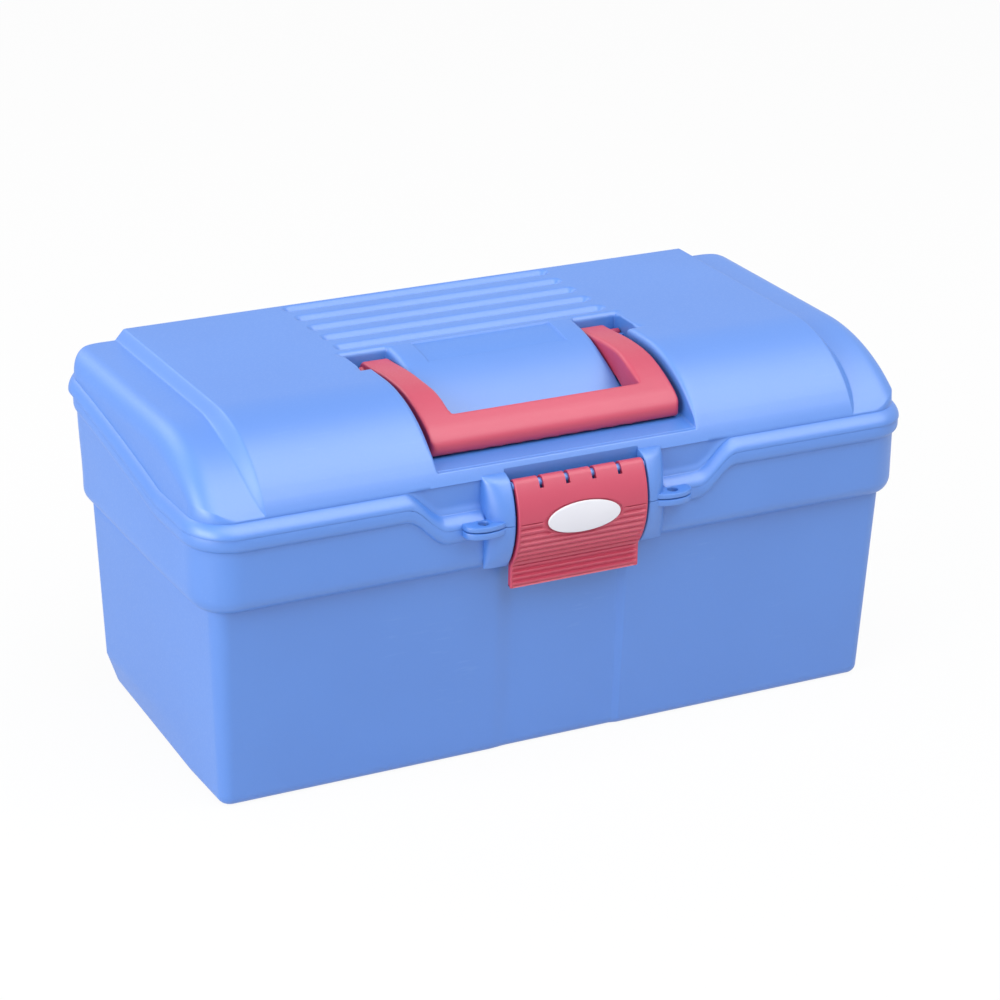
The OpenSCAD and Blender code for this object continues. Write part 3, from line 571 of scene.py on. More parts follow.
def leaned(row):
    """The rear corners of the band lean in towards their foot."""
    x, y, z = row.T
    low = 1.0 - ease((z - SHOULDER_Z - BAND_STEP) / BAND_LEAN_H)
    share = ease((y - RISE_Y) / (HALF_W - RISE_Y)) * (np.abs(x) / BAND_L) ** LEAN_POWER
    return np.column_stack([x - np.sign(x) * BAND_LEAN * low * share, y, z])


def make_tub():
    skin = Skin()
    rows = []

    def wall_row(z, inward, r):
        grow = BASE_DRAFT * min(1.0, z / SHOULDER_Z)
        x, y = tub_loop(BASE_L + grow - inward, -BASE_W - grow + inward, BASE_W + grow - inward, r)
        x = tucked(x, y, max(0.0, 1.0 - z / TUCK_Z))
        return level(x, y + panel_depth(x, y, z), z)

    def corner_at(z):
        return BASE_CORNER_R + (CORNER_R - BASE_CORNER_R) * min(1.0, z / SHOULDER_Z)

    for a in np.radians(np.linspace(0.0, 90.0, 6)):
        z = FLOOR_R * (1 - math.cos(a))
        inward = FLOOR_R * (1 - math.sin(a))
        rows.append(wall_row(z, inward, corner_at(z) - inward))
    for z in WALL_ZS:
        rows.append(wall_row(z, 0.0, corner_at(z)))
    for a in np.radians(np.linspace(0.0, 90.0, 10)):
        out = BAND_STEP * math.sin(a)
        z = SHOULDER_Z + BAND_STEP * (1 - math.cos(a))
        r = CORNER_R + (BAND_R - CORNER_R) * out / BAND_STEP
        x, y = tub_loop(WALL_L + out, -WALL_W - out, WALL_W + out, r)
        rows.append(leaned(level(x, y + panel_depth(x, y, z), z)))
    crest_x, crest_y = tub_loop(HALF_L, -HALF_W, BAND_W, BEAD_R)
    rims = rim_at(crest_x, crest_y)
    keep = np.where((crest_y < 0) & (np.abs(crest_x) < BEAD_STOP), 0.0, 1.0)

    def bead_row(out, z):
        x0, y0 = tub_loop(BAND_L, -BAND_W, BAND_W, BAND_R)
        x1, y1 = tub_loop(BAND_L + out, -BAND_W - out, BAND_W, BAND_R + out)
        return level(x0 + (x1 - x0) * keep, y0 + (y1 - y0) * keep, z)

    low = rows[-1]
    foot = bead_row(0.0, rims - BEAD_H - BEAD_FOOT)
    for t in (0.15, 0.3, 0.45, 0.6, 0.75, 0.9):
        row = foot.copy()
        row[:, 2] = low[:, 2] + (foot[:, 2] - low[:, 2]) * t
        rows.append(leaned(row))
    rows.append(foot)
    rows.append(bead_row(BEAD_TOE_OUT, rims - BEAD_H - BEAD_TOE))
    for a in np.radians((25.0, 42.0, 57.0, 70.0, 81.0, 90.0)):
        rows.append(bead_row(BEAD_OUT * math.sin(a), rims - BEAD_H + BEAD_ROUND * (1 - math.cos(a))))
    top = rims - PART_GAP / 2
    rows.append(bead_row(BEAD_OUT, top - PART_EDGE))
    rows.append(bead_row(BEAD_OUT - PART_EDGE * EDGE_SHARE, top - PART_EDGE * EDGE_SHARE))
    rows.append(bead_row(BEAD_OUT - PART_EDGE, top))
    in_l = BAND_L - WALL_T
    in_w = BAND_W - WALL_T
    in_r = BAND_R - WALL_T
    x, y = tub_loop(in_l + RIM_SOFT, -in_w - RIM_SOFT, in_w + RIM_SOFT, in_r)
    rows.append(level(x, y, top))
    x, y = tub_loop(in_l, -in_w, in_w, in_r)
    rows.append(level(x, y, top - RIM_SOFT))
    rows.append(level(x, y, LEDGE_Z + LEDGE_CHAMFER))
    ledge_w = in_w - LEDGE_CHAMFER
    x, y = tub_loop(in_l - LEDGE_CHAMFER, -ledge_w, ledge_w, in_r - LEDGE_CHAMFER)
    rows.append(level(x, y, LEDGE_Z))
    inner_r = CORNER_R - WALL_T
    rows.append(wall_row(LEDGE_Z, WALL_T - LEDGE_SOFT, inner_r))
    for z in INNER_ZS:
        rows.append(wall_row(z, WALL_T, inner_r))
    for a in np.radians((0.0, 30.0, 60.0, 90.0)):
        z = WALL_T + INNER_FLOOR_R * (1 - math.sin(a))
        inward = INNER_FLOOR_R * (1 - math.cos(a))
        rows.append(wall_row(z, WALL_T + INNER_DRAFT + inward, inner_r - inward))
    skin.capped(rows)
    blue_piece("tub", skin, "tub", "tub_shell")


make_tub()


# Lid

def arc_at(y, y0, top, full):
    """Height of a dome that starts to fall at y0 and meets the lid's front edge."""
    a = (y0 - LID_FRONT) * full
    return top - (top - EDGE_Z) * arc_share((y0 - y) / a) / arc_share((y0 - LID_FRONT) / a)


def dome_at(y):
    return arc_at(y, DOME_Y, LID_TOP, DOME_FULL)


def end_at(y):
    return arc_at(y, END_Y, END_TOP, END_FULL)


def well_floor(y):
    """The well's floor slopes up from its front edge to just under the grip."""
    return WELL_Z + SHELF_H * np.clip((y - SHELF_Y) / SHELF_L, 0.0, 1.0)


def island_at(y):
    dy = np.clip(ISLAND_BACK - y, 0.0, ISLAND_R)
    return np.maximum(well_floor(y), LID_TOP - ISLAND_R + np.sqrt(ISLAND_R ** 2 - dy ** 2))


def slot_at(y):
    return np.maximum(well_floor(y), dome_at(y - GRIP_D) - SLOT_D)


def recess(top, floor, inside, lip, toe):
    """Height of a sunk floor; inside is the distance in from its edge, lip and toe round its wall."""
    depth = np.maximum(top - floor, 0.0)
    lip_h = np.minimum(lip, depth * CUT_SHARE)
    toe_h = np.minimum(toe, depth * CUT_SHARE)
    high = top - lip_h * arc_share(1.0 + inside / lip)
    low = floor + toe_h * arc_share(1.0 - (inside - STEP_DRAFT) / toe)
    share = np.clip(inside / STEP_DRAFT, 0.0, 1.0)
    return np.minimum(top, high + (low - high) * share)


def inside_box(x, y, half, front, back):
    """Distance in from the edges of a rectangle centred on X, negative outside."""
    return np.minimum(np.minimum(half - np.abs(x), y - front), back - y)


def groove_depth(x, y):
    """Rounded channels across the back of the lid, with rounded ends."""
    past = np.maximum(0.0, np.abs(x) - GROOVE_END + GROOVE_HALF)
    deep = 0.0
    for k in range(GROOVES):
        u = np.hypot(past, y - GROOVE_BACK + GROOVE_PITCH * k) / GROOVE_HALF
        deep = deep + GROOVE_D * (0.5 + 0.5 * np.cos(math.pi * np.minimum(u, 1.0)))
    return deep


def slope_width(y):
    """The slope beside the raised top narrows to nothing at the foot of the dome."""
    return np.maximum(SLOPE_MIN, RAISED_SLOPE * (dome_at(y) - end_at(y)) / RAISED_H)


def lid_height(x, y):
    ax = np.abs(x)
    dome = dome_at(y)
    z = dome + (end_at(y) - dome) * ramp((ax - RAISED_HALF) / slope_width(y), RAISED_SOFT)
    z = z - groove_depth(x, y)
    floor = recess(island_at(y), slot_at(y), ax - ISLAND_HALF, ISLAND_LIP, TOE)
    well = inside_box(x, y, WELL_HALF, WELL_FRONT, POCKET_BACK)
    pocket = inside_box(x, y, POCKET_HALF, POCKET_FRONT, POCKET_BACK)
    pocket = np.where(ax > ISLAND_HALF, pocket, -WELL_HALF)
    beside = ease((LIP_SIDE_Y - y) / LIP_SIDE_RUN) * ease((y - WELL_FRONT) / LIP_FRONT_RUN)
    behind = ease((y - LIP_BACK_Y) / LIP_BACK_RUN)
    lip = POCKET_LIP + (WELL_LIP - POCKET_LIP) * np.maximum(beside, behind)
    z = recess(z, floor, np.maximum(well, pocket), lip, TOE)
    label = inside_box(x, y, LABEL_HALF, LABEL_FRONT, LABEL_BACK)
    return recess(z, z - LABEL_D, label, LABEL_LIP, LABEL_LIP)


def step_places(edge, lip, toe, inward):
    """Places along one axis that follow a step's rounded lip and toe; inward is the way down."""
    high = [edge - inward * d for d in quarter(lip, 6)]
    low = [edge + inward * (STEP_DRAFT + d) for d in quarter(toe, 4)]
    return high + low


SLOPE_SHARES = (-0.6, -0.25, -0.1, 0.0, 0.1, 0.35, 0.65, 0.9, 1.0, 1.1, 1.25, 1.6)
DROP_SHARES = (0.15, 0.4, 0.7, 1.0)
LID_ANGLES = (2, 6, 10, 15, 20, 25, 30, 34, 38, 42, 46, 50, 54, 58, 62, 66, 70, 74, 78, 81.5, 84.5, 87, 90)
NOTCH_SOFT = 0.3
DOME_RUN = 55.0
LID_XS = (4, 12, 20, 27, 33, 36, 36.9, NOTCH_HALF, NOTCH_HALF + NOTCH_SOFT, 42, 45, 48, 57, 60, 64, 68,
          81, 83, 85, 87.5, 90, 92, 96, 102, 110, 120, 130, 140, 149, 155, 178)
LID_YS = (-88.9, -88.4, -87.85, -69, -68.6, -68, -67.4, -67, -24, -20.5, -17, -14.5, -5, -1, 3, 6.5)
GROOVE_LAND = 2.0


def lid_stations():
    """Places along the lid's half: x, corner angle or -1, share of the drop to the edge."""
    xs = list(LID_XS)
    xs += step_places(LABEL_HALF, LABEL_LIP, LABEL_LIP, -1)
    xs += step_places(ISLAND_HALF, ISLAND_LIP, TOE, 1)
    xs += step_places(WELL_HALF, WELL_LIP, TOE, -1)
    xs += step_places(POCKET_HALF, POCKET_LIP, TOE, -1)
    xs += [RAISED_HALF + RAISED_SLOPE * t for t in SLOPE_SHARES]
    rows = [(x, -1, 0.0) for x in sorted(xs)]
    rows += [(LID_L - LID_R + LID_R * math.sin(math.radians(a)), a, 0.0) for a in LID_ANGLES]
    rows += [(LID_L, 90, f) for f in DROP_SHARES]
    return rows


def lid_lines():
    """Places across the lid, front to back: y and share of the drop to the edge."""
    ys = list(LID_YS)
    ys += step_places(WELL_FRONT, WELL_FRONT_LIP, TOE, 1)
    ys += [DOME_Y - DOME_RUN * t for t in np.sin(np.linspace(1.5, 0.0, 30))]
    ys += step_places(LABEL_FRONT, LABEL_LIP, LABEL_LIP, 1)
    ys += step_places(LABEL_BACK, LABEL_LIP, LABEL_LIP, -1)
    ys += step_places(POCKET_FRONT, POCKET_LIP, TOE, 1)
    ys += step_places(POCKET_BACK, WELL_LIP, TOE, -1)
    for k in range(GROOVES):
        centre = GROOVE_BACK - GROOVE_PITCH * k
        ys += [centre + GROOVE_HALF * u for u in np.linspace(-1.0, 1.0, 19)]
        ys.append(centre - GROOVE_HALF - GROOVE_LAND)
    ys += [LID_BACK - d for d in quarter(BACK_R, 7)]
    lines = [(LID_FRONT, 1.0)] + [(y, 0.0) for y in sorted(ys)]
    return lines + [(LID_BACK, f) for f in DROP_SHARES]


def lid_surface():
    half = lid_stations()
    stations = [(-x, a, f) for x, a, f in half[::-1]] + half
    lines = lid_lines()
    sx, angle, fall = (np.array(v, dtype=float)[:, None] for v in zip(*stations))
    ly, drop = (np.array(v, dtype=float)[None, :] for v in zip(*lines))
    inset = np.where(angle < 0, 0.0, LID_R - LID_R * np.cos(np.radians(np.maximum(angle, 0.0))))
    notched = (angle < 0) & (np.abs(sx) <= NOTCH_HALF + NEAR)
    front = np.where(notched, NOTCH_FRONT, LID_FRONT) + inset
    back = LID_BACK - inset
    t = (ly - LID_FRONT) / (LID_BACK - LID_FRONT)
    squeeze = np.clip((PINCH_Y - ly) / (PINCH_Y - LID_FRONT), 0.0, 1.0)
    y = np.where(angle < 0, ly + (front - LID_FRONT) * squeeze, front + (back - front) * t)
    along = (np.abs(sx) - RAISED_HALF) / RAISED_SLOPE
    on_slope = (angle < 0) & (np.abs(along - 0.5) < SLOPE_REACH)
    x = np.where(on_slope, np.sign(sx) * (RAISED_HALF + along * slope_width(y)), sx)
    z = lid_height(x, y)
    z = z - round_drop(END_R, np.abs(sx) - LID_L + END_R)
    z = z - round_drop(BACK_R, BACK_R - (back - y))
    in_notch = notched & (drop >= 1.0) & (ly < 0)
    edge = np.where(in_notch, dome_at(NOTCH_FRONT), EDGE_Z + rise_at(y))
    z = np.maximum(z, edge)
    z = z + (edge - z) * np.maximum(fall, drop)
    return np.stack([x, y, z], axis=-1)


def border_of(grid):
    """The closed outer row of a lattice: front, right end, back, left end."""
    return np.concatenate([grid[:, 0], grid[-1, 1:-1], grid[::-1, -1], grid[0, -2:0:-1]])


INSIDE_XS = [4, 20, 38, 58, 66, 92, 110, 130, 150, 163.5, 168.5, 172]
INSIDE_SHIFT = 2.0
SLOPE_THICK = 0.75 * WALL_T


def lid_inside():
    """Lattice for the hollow of the lid, one wall under the skin."""
    half_l = LID_L - WALL_T
    r = LID_R - WALL_T
    angles = np.radians((0, 12, 24, 36, 48, 60, 72, 84, 90))
    walls = [ISLAND_HALF - WALL_T, WELL_HALF + WALL_T, POCKET_HALF + WALL_T]
    steps = [w + side * STEP_DRAFT for w in walls for side in (-1, 1)]
    half = sorted(INSIDE_XS + steps)
    half = np.concatenate([half, half_l - r + r * np.sin(angles)])
    turn = np.concatenate([np.zeros(len(half) - len(angles)), angles])
    xs = np.concatenate([-half[::-1], half])
    corner = np.concatenate([turn[::-1], turn])[:, None]
    back_wall = POCKET_BACK + WALL_T
    side_wall = POCKET_FRONT - WALL_T
    front_wall = WELL_FRONT + WALL_T
    ys = np.concatenate([[LID_FRONT + WALL_T, front_wall - STEP_DRAFT, front_wall + STEP_DRAFT],
                         np.linspace(-83.0, -16.0, 24),
                         [side_wall - STEP_DRAFT, side_wall + STEP_DRAFT, -4.0, 6.0],
                         [back_wall - STEP_DRAFT, back_wall + STEP_DRAFT], np.linspace(19.0, 86.0, 14),
                         [LID_BACK - WALL_T - d for d in quarter(BACK_R, 4)[::-1]]])
    inset = r - r * np.cos(corner)
    front = LID_FRONT + WALL_T + inset
    back = LID_BACK - WALL_T - inset
    t = (ys[None, :] - ys[0]) / (ys[-1] - ys[0])
    y = np.where(corner > 0, front + (back - front) * t, ys[None, :])
    x = np.broadcast_to(xs[:, None], y.shape)
    ax = np.abs(x)
    dome = dome_at(y)
    z = dome + (end_at(y) - dome) * ramp((ax + INSIDE_SHIFT - RAISED_HALF) / RAISED_SLOPE, RAISED_SOFT)
    well = inside_box(x, y, WELL_HALF + WALL_T, front_wall, back_wall) > 0
    pocket = (inside_box(x, y, POCKET_HALF + WALL_T, side_wall, back_wall) > 0) & (ax > ISLAND_HALF)
    floor = np.where(ax < ISLAND_HALF - WALL_T, island_at(y), slot_at(y))
    z = np.where(well | pocket, np.minimum(z, floor), z)
    z = z - np.where((y > back_wall) & (ax < GROOVE_END), GROOVE_D, 0.0)
    z = z - round_drop(END_R, ax + WALL_T - LID_L + END_R)
    z = z - round_drop(BACK_R, BACK_R - (back - y))
    slope = SLOPE_THICK * ease((DOME_Y - y) / (DOME_Y - LID_FRONT)) * (ax > POCKET_HALF)
    z = np.maximum(z - WALL_T - slope, EDGE_Z + rise_at(y) - WALL_T / 2)
    return np.stack([x, y, z], axis=-1)


def lid_rim_row(border, out, height):
    """A row of the lid's bead; out is 0 at the lid's face and 1 at the crest."""
    x, y = border[:, 0], border[:, 1]
    cx = LID_L - LID_R
    cf = LID_FRONT + LID_R
    cb = LID_BACK - LID_R
    dx = np.sign(x) * np.maximum(0.0, np.abs(x) - cx) / LID_R
    dy = np.where(y < cf, (y - cf) / LID_R, np.where(y > cb, (y - cb) / LID_R, 0.0))
    bare = ((y < 0) & (np.abs(x) < BEAD_STOP)) | ((y > cb) & (np.abs(x) < cx))
    out_x = np.where(bare, 0.0, dx * END_IN)
    out_y = np.where(bare, 0.0, dy * np.where(y < 0, FACE_IN, END_IN * BACK_BEAD_SHARE))
    return level(x + out * out_x, y + out * out_y, rim_at(x + out_x, y + out_y) + height)


def front_wall_rows(top, foot):
    """Rows from the lid's edge down to its bead; in front the wall is set back under a crisp edge."""
    front = (top[:, 1] < LID_FRONT + NEAR) & (np.abs(top[:, 0]) > NOTCH_HALF)
    drop = top[:, 2] - foot[:, 2]
    rows = [top]
    for share in (0.008, 0.017, 0.026, 0.036, 0.08, 0.3, 0.55, 0.7, 0.78, 0.84, 0.89, 0.93, 0.965, 1.0):
        row = top + (foot - top) * share
        step = FRONT_STEP * ease(drop * share / STEP_HEAD) * ease(drop * (1.0 - share) / STEP_FOOT)
        row[:, 1] += np.where(front, step, 0.0)
        rows.append(row)
    return rows


def make_lid():
    skin = Skin()
    grid = lid_surface()
    skin.lattice(grid.transpose(1, 0, 2))
    border = border_of(grid)
    high = EDGE_H - BEAD_HEAD
    gap = PART_GAP / 2
    low = gap + PART_EDGE
    rows = front_wall_rows(border, lid_rim_row(border, 0.0, high))
    for a in np.radians(np.arange(9.0, 91.0, 9.0)):
        rows.append(lid_rim_row(border, math.sin(a) ** BEAD_FULL, low + (high - low) * math.cos(a)))
    rows.append(lid_rim_row(border, 1.0 - PART_EDGE * EDGE_SHARE / FACE_IN, gap + PART_EDGE * EDGE_SHARE))
    rows.append(lid_rim_row(border, 1.0 - PART_EDGE / FACE_IN, gap))
    inward = lid_rim_row(border, -WALL_T / FACE_IN, gap)
    bare = (np.abs(border[:, 0]) < LID_L - LID_R) & (border[:, 1] > 0)
    bare |= (np.abs(border[:, 0]) < BEAD_STOP) & (border[:, 1] < 0)
    inward[:, 1] -= np.where(bare, np.sign(border[:, 1]) * WALL_T, 0.0)
    rows.append(inward)
    up = inward.copy()
    up[:, 2] = border[:, 2] - WALL_T / 2
    rows.append(up)
    skin.lattice(np.array(rows), closed=True)
    skin.lattice(lid_inside().transpose(1, 0, 2))

    def on_label(p):
        inside = inside_box(p.x, p.y, LABEL_HALF, LABEL_FRONT, LABEL_BACK) > 0
        return inside and p.z > island_at(p.y) - WALL_T / 2

    blue_piece("lid", skin, "lid", "lid_shell", 70.0, (MATT_BLUE, on_label))


make_lid()


# Latch, its badge and the cheeks beside it

LATCH_HALF = 36.1
BAR_Y = -94.6
BAR_Z = 150.8
BAR_R = 2.2
BOW_Y = -64.2
BOW_Z = 132.5
BOW_R = 39.0
ROLL_R = BOW_R - math.hypot(BAR_Y - BOW_Y, BAR_Z - BOW_Z)
ROLL_TURN = math.degrees(math.atan2(BAR_Z - BOW_Z, BOW_Y - BAR_Y))
BAR_GAP = 0.1
ROLL_T = ROLL_R - BAR_R - BAR_GAP
LATCH_T = 2.6
NECK_Z = 108.5
NECK_Y = BOW_Y - math.sqrt(BOW_R ** 2 - (BOW_Z - NECK_Z) ** 2)
NECK_SOFT = 2.2
NECK_RUN = 1.5
LIP_Z = 96.1
LIP_EDGE = 0.9
SIDE_EDGE = 0.8
SLOT_XS = (-21.84, -7.28, 7.28, 21.84)
SLOT_HALF = 1.2
SLOT_LOW = 149.6
BADGE_HALF_X = 20.2
BADGE_HALF_Z = 8.1
BADGE_Z = 132.1
BADGE_T = 0.8
BADGE_GAP = 0.45
BADGE_EDGE = 0.55
BADGE_CROWN = 0.12
RIB_TOP = 0.66
RIB_PITCH = 3.55
RIBS = 7
LIP_RIB_TOP = 108.35
LIP_RIB_PITCH = 2.95
LIP_RIBS = 4
RIB_D = 1.2
RIB_LEDGE = 0.28
RIB_FALL = 1.4
RIB_CLEAR = 0.3
RIB_RUN = 0.8
RIB_END = 0.9
SEAT_D = 0.6
SEAT_IN = 0.3
SEAT_RUN = 0.15
THIN_RUN = 6.0
THIN_START = 4.0
SLOT_SOFT = 0.4
HOOK = [(-98.5, 116.5), (-95.95, 116.5), (-95.95, 119.9), (-96.4, 120.1), (-98.5, 120.1)]
HOOK_IN = 0.6
HOOK_R = 0.3


def latch_path():
    """Outer face of the latch in (y, z), from the rolled top over the bow and neck to the lip's foot."""
    path = []
    for a in np.radians(np.linspace(20.0, 180.0 - ROLL_TURN, 26)):
        path.append((BAR_Y + ROLL_R * math.cos(a), BAR_Z + ROLL_R * math.sin(a)))
    last = math.degrees(math.asin((NECK_Z + NECK_SOFT - BOW_Z) / BOW_R))
    for a in np.radians(np.linspace(ROLL_TURN, last, 280)[1:]):
        path.append((BOW_Y - BOW_R * math.cos(a), BOW_Z + BOW_R * math.sin(a)))
    out = NECK_Y - path[-1][0]
    for t in np.linspace(0.0, 1.0, 12)[1:]:
        path.append((NECK_Y - out * (1 - t) ** 2, NECK_Z + NECK_SOFT * (1.0 - NECK_RUN * t)))
    for z in np.linspace(path[-1][1], LIP_Z + LIP_EDGE, 90)[1:]:
        path.append((NECK_Y, z))
    for a in np.radians((30.0, 60.0, 90.0)):
        path.append((NECK_Y + LIP_EDGE * (1 - math.cos(a)), LIP_Z + LIP_EDGE * (1 - math.sin(a))))
    return np.array(path)


def path_normals(path):
    along = np.gradient(path, axis=0)
    normal = np.stack([along[:, 1], -along[:, 0]], axis=1)
    normal /= np.linalg.norm(normal, axis=1, keepdims=True)
    return -normal if normal[len(normal) // 2, 0] > 0 else normal


def rib_wave(z, top, pitch, count):
    """Louvre-like ribs, each a narrow ledge and a longer side that falls back; 0 is flush, -1 deepest."""
    t = (top - z) / pitch
    phase = t - np.floor(t)
    ledge = np.clip(phase / RIB_LEDGE, 0.0, 1.0)
    fall = np.clip((phase - RIB_LEDGE) / (1.0 - RIB_LEDGE), 0.0, 1.0)
    shape = ease(ledge) - fall ** RIB_FALL
    return np.where((t >= 0.0) & (t < count), shape - 1.0, 0.0)


def closed_shell(skin, outer, inner, skip):
    """Joins two lattices along their outer edge and round the cells that skip leaves out."""
    skin.lattice(outer, skip=skip)
    skin.lattice(inner, skip=skip)
    rows, cols = skip.shape
    wide = np.ones((rows + 2, cols + 2), dtype=bool)
    wide[1:-1, 1:-1] = skip
    for i, j in np.argwhere(~skip):
        for di, dj, a, b in ((-1, 0, (i, j), (i, j + 1)), (1, 0, (i + 1, j), (i + 1, j + 1)),
                             (0, -1, (i, j), (i + 1, j)), (0, 1, (i, j + 1), (i + 1, j + 1))):
            if wide[i + 1 + di, j + 1 + dj]:
                steps = np.linspace(0.0, 1.0, 4)[:, None, None]
                top = np.array([outer[a], outer[b]])
                low = np.array([inner[a], inner[b]])
                skin.lattice(top + (low - top) * steps)


def latch_columns():
    edge = SIDE_EDGE * np.array([0.0, 0.06, 0.25, 0.56, 1.0])
    xs = list(-LATCH_HALF + edge) + list(LATCH_HALF - edge) + list(np.linspace(-35.0, 35.0, 61))
    xs = [x for x in xs if min(abs(x - c) for c in SLOT_XS) > SLOT_HALF + SLOT_SOFT]
    for c in SLOT_XS:
        xs += [c + SLOT_HALF * u for u in (-1.2, -1.0, -0.5, 0.0, 0.5, 1.0, 1.2)]
    return np.array(sorted(xs))


def make_latch():
    path = latch_path()
    normal = path_normals(path)
    xs = latch_columns()
    x = xs[None, :]
    y = path[:, 0][:, None]
    z = path[:, 1][:, None]
    side = LATCH_HALF - np.abs(x)
    soft = round_drop(SIDE_EDGE, SIDE_EDGE - side)
    oval = np.sqrt((x / BADGE_HALF_X) ** 2 + ((z - BADGE_Z) / BADGE_HALF_Z) ** 2) - 1.0
    near = oval * BADGE_HALF_Z
    clear = ease((near - BADGE_GAP - RIB_CLEAR) / RIB_RUN)
    ends = ease((side - SIDE_EDGE) / RIB_END)
    arc = BOW_R * np.arcsin(np.clip((z - BOW_Z) / BOW_R, -1.0, 1.0))
    ribs = rib_wave(arc, RIB_TOP, RIB_PITCH, RIBS)
    lip = rib_wave(z, LIP_RIB_TOP, LIP_RIB_PITCH, LIP_RIBS)
    seat = SEAT_D * ease((near + SEAT_IN) / SEAT_RUN) * (1.0 - ease((near - BADGE_GAP) / SEAT_RUN))
    height = RIB_D * (ribs * clear + lip) * ends - soft - seat
    ny = normal[:, 0][:, None]
    nz = normal[:, 1][:, None]
    down = np.maximum(0.0, BAR_Z - z) + THIN_START * (y < BAR_Y - ROLL_R)
    deep = ROLL_T + (LATCH_T - ROLL_T) * ease(down / THIN_RUN) * (y < BAR_Y)
    outer = np.stack(np.broadcast_arrays(x, y + ny * height, z + nz * height), axis=-1)
    inner = np.stack(np.broadcast_arrays(x, y - ny * deep, z - nz * deep), axis=-1)
    mid_x = (xs[:-1] + xs[1:]) / 2
    mid = (path[:-1] + path[1:]) / 2
    in_slot = np.min([np.abs(mid_x - c) for c in SLOT_XS], axis=0) < SLOT_HALF
    high = (mid[:, 1] > SLOT_LOW) & (mid[:, 0] < BAR_Y + ROLL_R)
    skin = Skin()
    closed_shell(skin, outer, inner, high[:, None] & in_slot[None, :])
    along_x(skin, rounded(HOOK, HOOK_R, 2), HOOK_IN - LATCH_HALF, LATCH_HALF - HOOK_IN, HOOK_R)
    piece("latch_plate", skin, RED, "latch", ["latch"], 34.0)


def make_badge():
    """Bare oval badge that follows the latch's bow, with a rounded edge."""
    around = np.radians(np.arange(0.0, 360.0, 3.0))
    rows = []
    for share in (0.12, 0.3, 0.5, 0.7, 0.85, 0.94):
        rows.append((share * (BADGE_HALF_X - BADGE_EDGE), share * (BADGE_HALF_Z - BADGE_EDGE), 0.0))
    for a in np.radians((0.0, 18.0, 36.0, 54.0, 72.0, 90.0)):
        inset = BADGE_EDGE * (1 - math.sin(a))
        rows.append((BADGE_HALF_X - inset, BADGE_HALF_Z - inset, BADGE_EDGE * (1 - math.cos(a))))
    rows.append((BADGE_HALF_X, BADGE_HALF_Z, BADGE_T))
    rows.append((BADGE_HALF_X * 0.5, BADGE_HALF_Z * 0.5, BADGE_T))
    rings = []
    for half_x, half_z, down in rows:
        x = half_x * np.cos(around)
        z = BADGE_Z + half_z * np.sin(around)
        rise = BADGE_CROWN * (1.0 - (x / BADGE_HALF_X) ** 2 - ((z - BADGE_Z) / BADGE_HALF_Z) ** 2)
        r = BOW_R + BADGE_T - BADGE_CROWN - down + (rise if down < BADGE_T else 0.0)
        a = np.arcsin((z - BOW_Z) / BOW_R)
        rings.append(level(x, BOW_Y - r * np.cos(a), BOW_Z + r * np.sin(a)))
    skin = Skin()
    skin.capped(rings)
    piece("oval_badge", skin, WHITE, "latch", ["latch_badge"], 60.0)


CHEEK_IN = 37.3
CHEEK_OUT = 50.1
CHEEK_BACK = 0.9
CHEEK_TOP = 156.4
CHEEK_LOW = 108.9
CHEEK_FOOT = 0.6
CHEEK_HEAD = 2.8
CHEEK_LIP = 0.9
LIP_SHARE = 0.4
CHEEK_FULL = 0.8
HEAD_FALL = 0.95
FOOT_FALL = 0.05
MEET_END = (0.2, 0.01)
DIP_Z = RIM_Z - DIP_DEPTH
EAR_X = 53.0
EAR_Y = -97.6
EAR_REACH = 10.2
EAR_IN = 13.0
EAR_DEEP = 15.0
EAR_BACK = -87.4
EAR_FRONT = 6.4
EAR_EDGE = 0.45
EAR_ROUND = [(EAR_EDGE, 0.0), (EAR_EDGE * EDGE_SHARE, EAR_EDGE * EDGE_SHARE), (0.0, EAR_EDGE)]
HOLE_R = 2.8
EAR_HIGH = 135.55
EAR_LOW = 129.25
MEET_GAP = 0.15


def cheek_front(z):
    """Front of the cheek, just behind the latch's bow."""
    r = BOW_R - CHEEK_BACK
    return BOW_Y - np.sqrt(np.maximum(0.0, r * r - (z - BOW_Z) ** 2))


def add_cheek(skin, z0, z1, back, foot, head):
    """Round-fronted column on the right; foot and head hold an end's round and how far it falls back."""
    (foot_r, foot_fall), (head_r, head_fall) = foot, head
    zs = np.concatenate([z0 + quarter(foot_r, 8), np.linspace(z0 + foot_r, z1 - head_r, 16)[1:-1],
                         z1 - quarter(head_r, 6)[::-1]])
    turn = np.linspace(0.0, 90.0, 19)
    rows = []
    for z in zs:
        fall = foot_fall * arc_share(1.0 - (z - z0) / foot_r)
        fall += head_fall * arc_share(1.0 - (z1 - z) / head_r)
        reach = (cheek_front(z) - back) * (1.0 - fall)
        wide = CHEEK_OUT - CHEEK_IN
        lip = min(CHEEK_LIP, -reach * LIP_SHARE)
        loop = [(CHEEK_IN, back), (CHEEK_IN, back + reach + lip)]
        for a in np.radians((30.0, 60.0)):
            loop.append((CHEEK_IN + lip * (1 - math.cos(a)), back + reach + lip * (1 - math.sin(a))))
        for a in np.radians(turn):
            full = max(0.0, math.cos(a)) ** CHEEK_FULL
            loop.append((CHEEK_IN + lip + (wide - lip) * math.sin(a), back + reach * full))
        rows.append(level(*np.transpose(loop), z))
    skin.capped(rows)


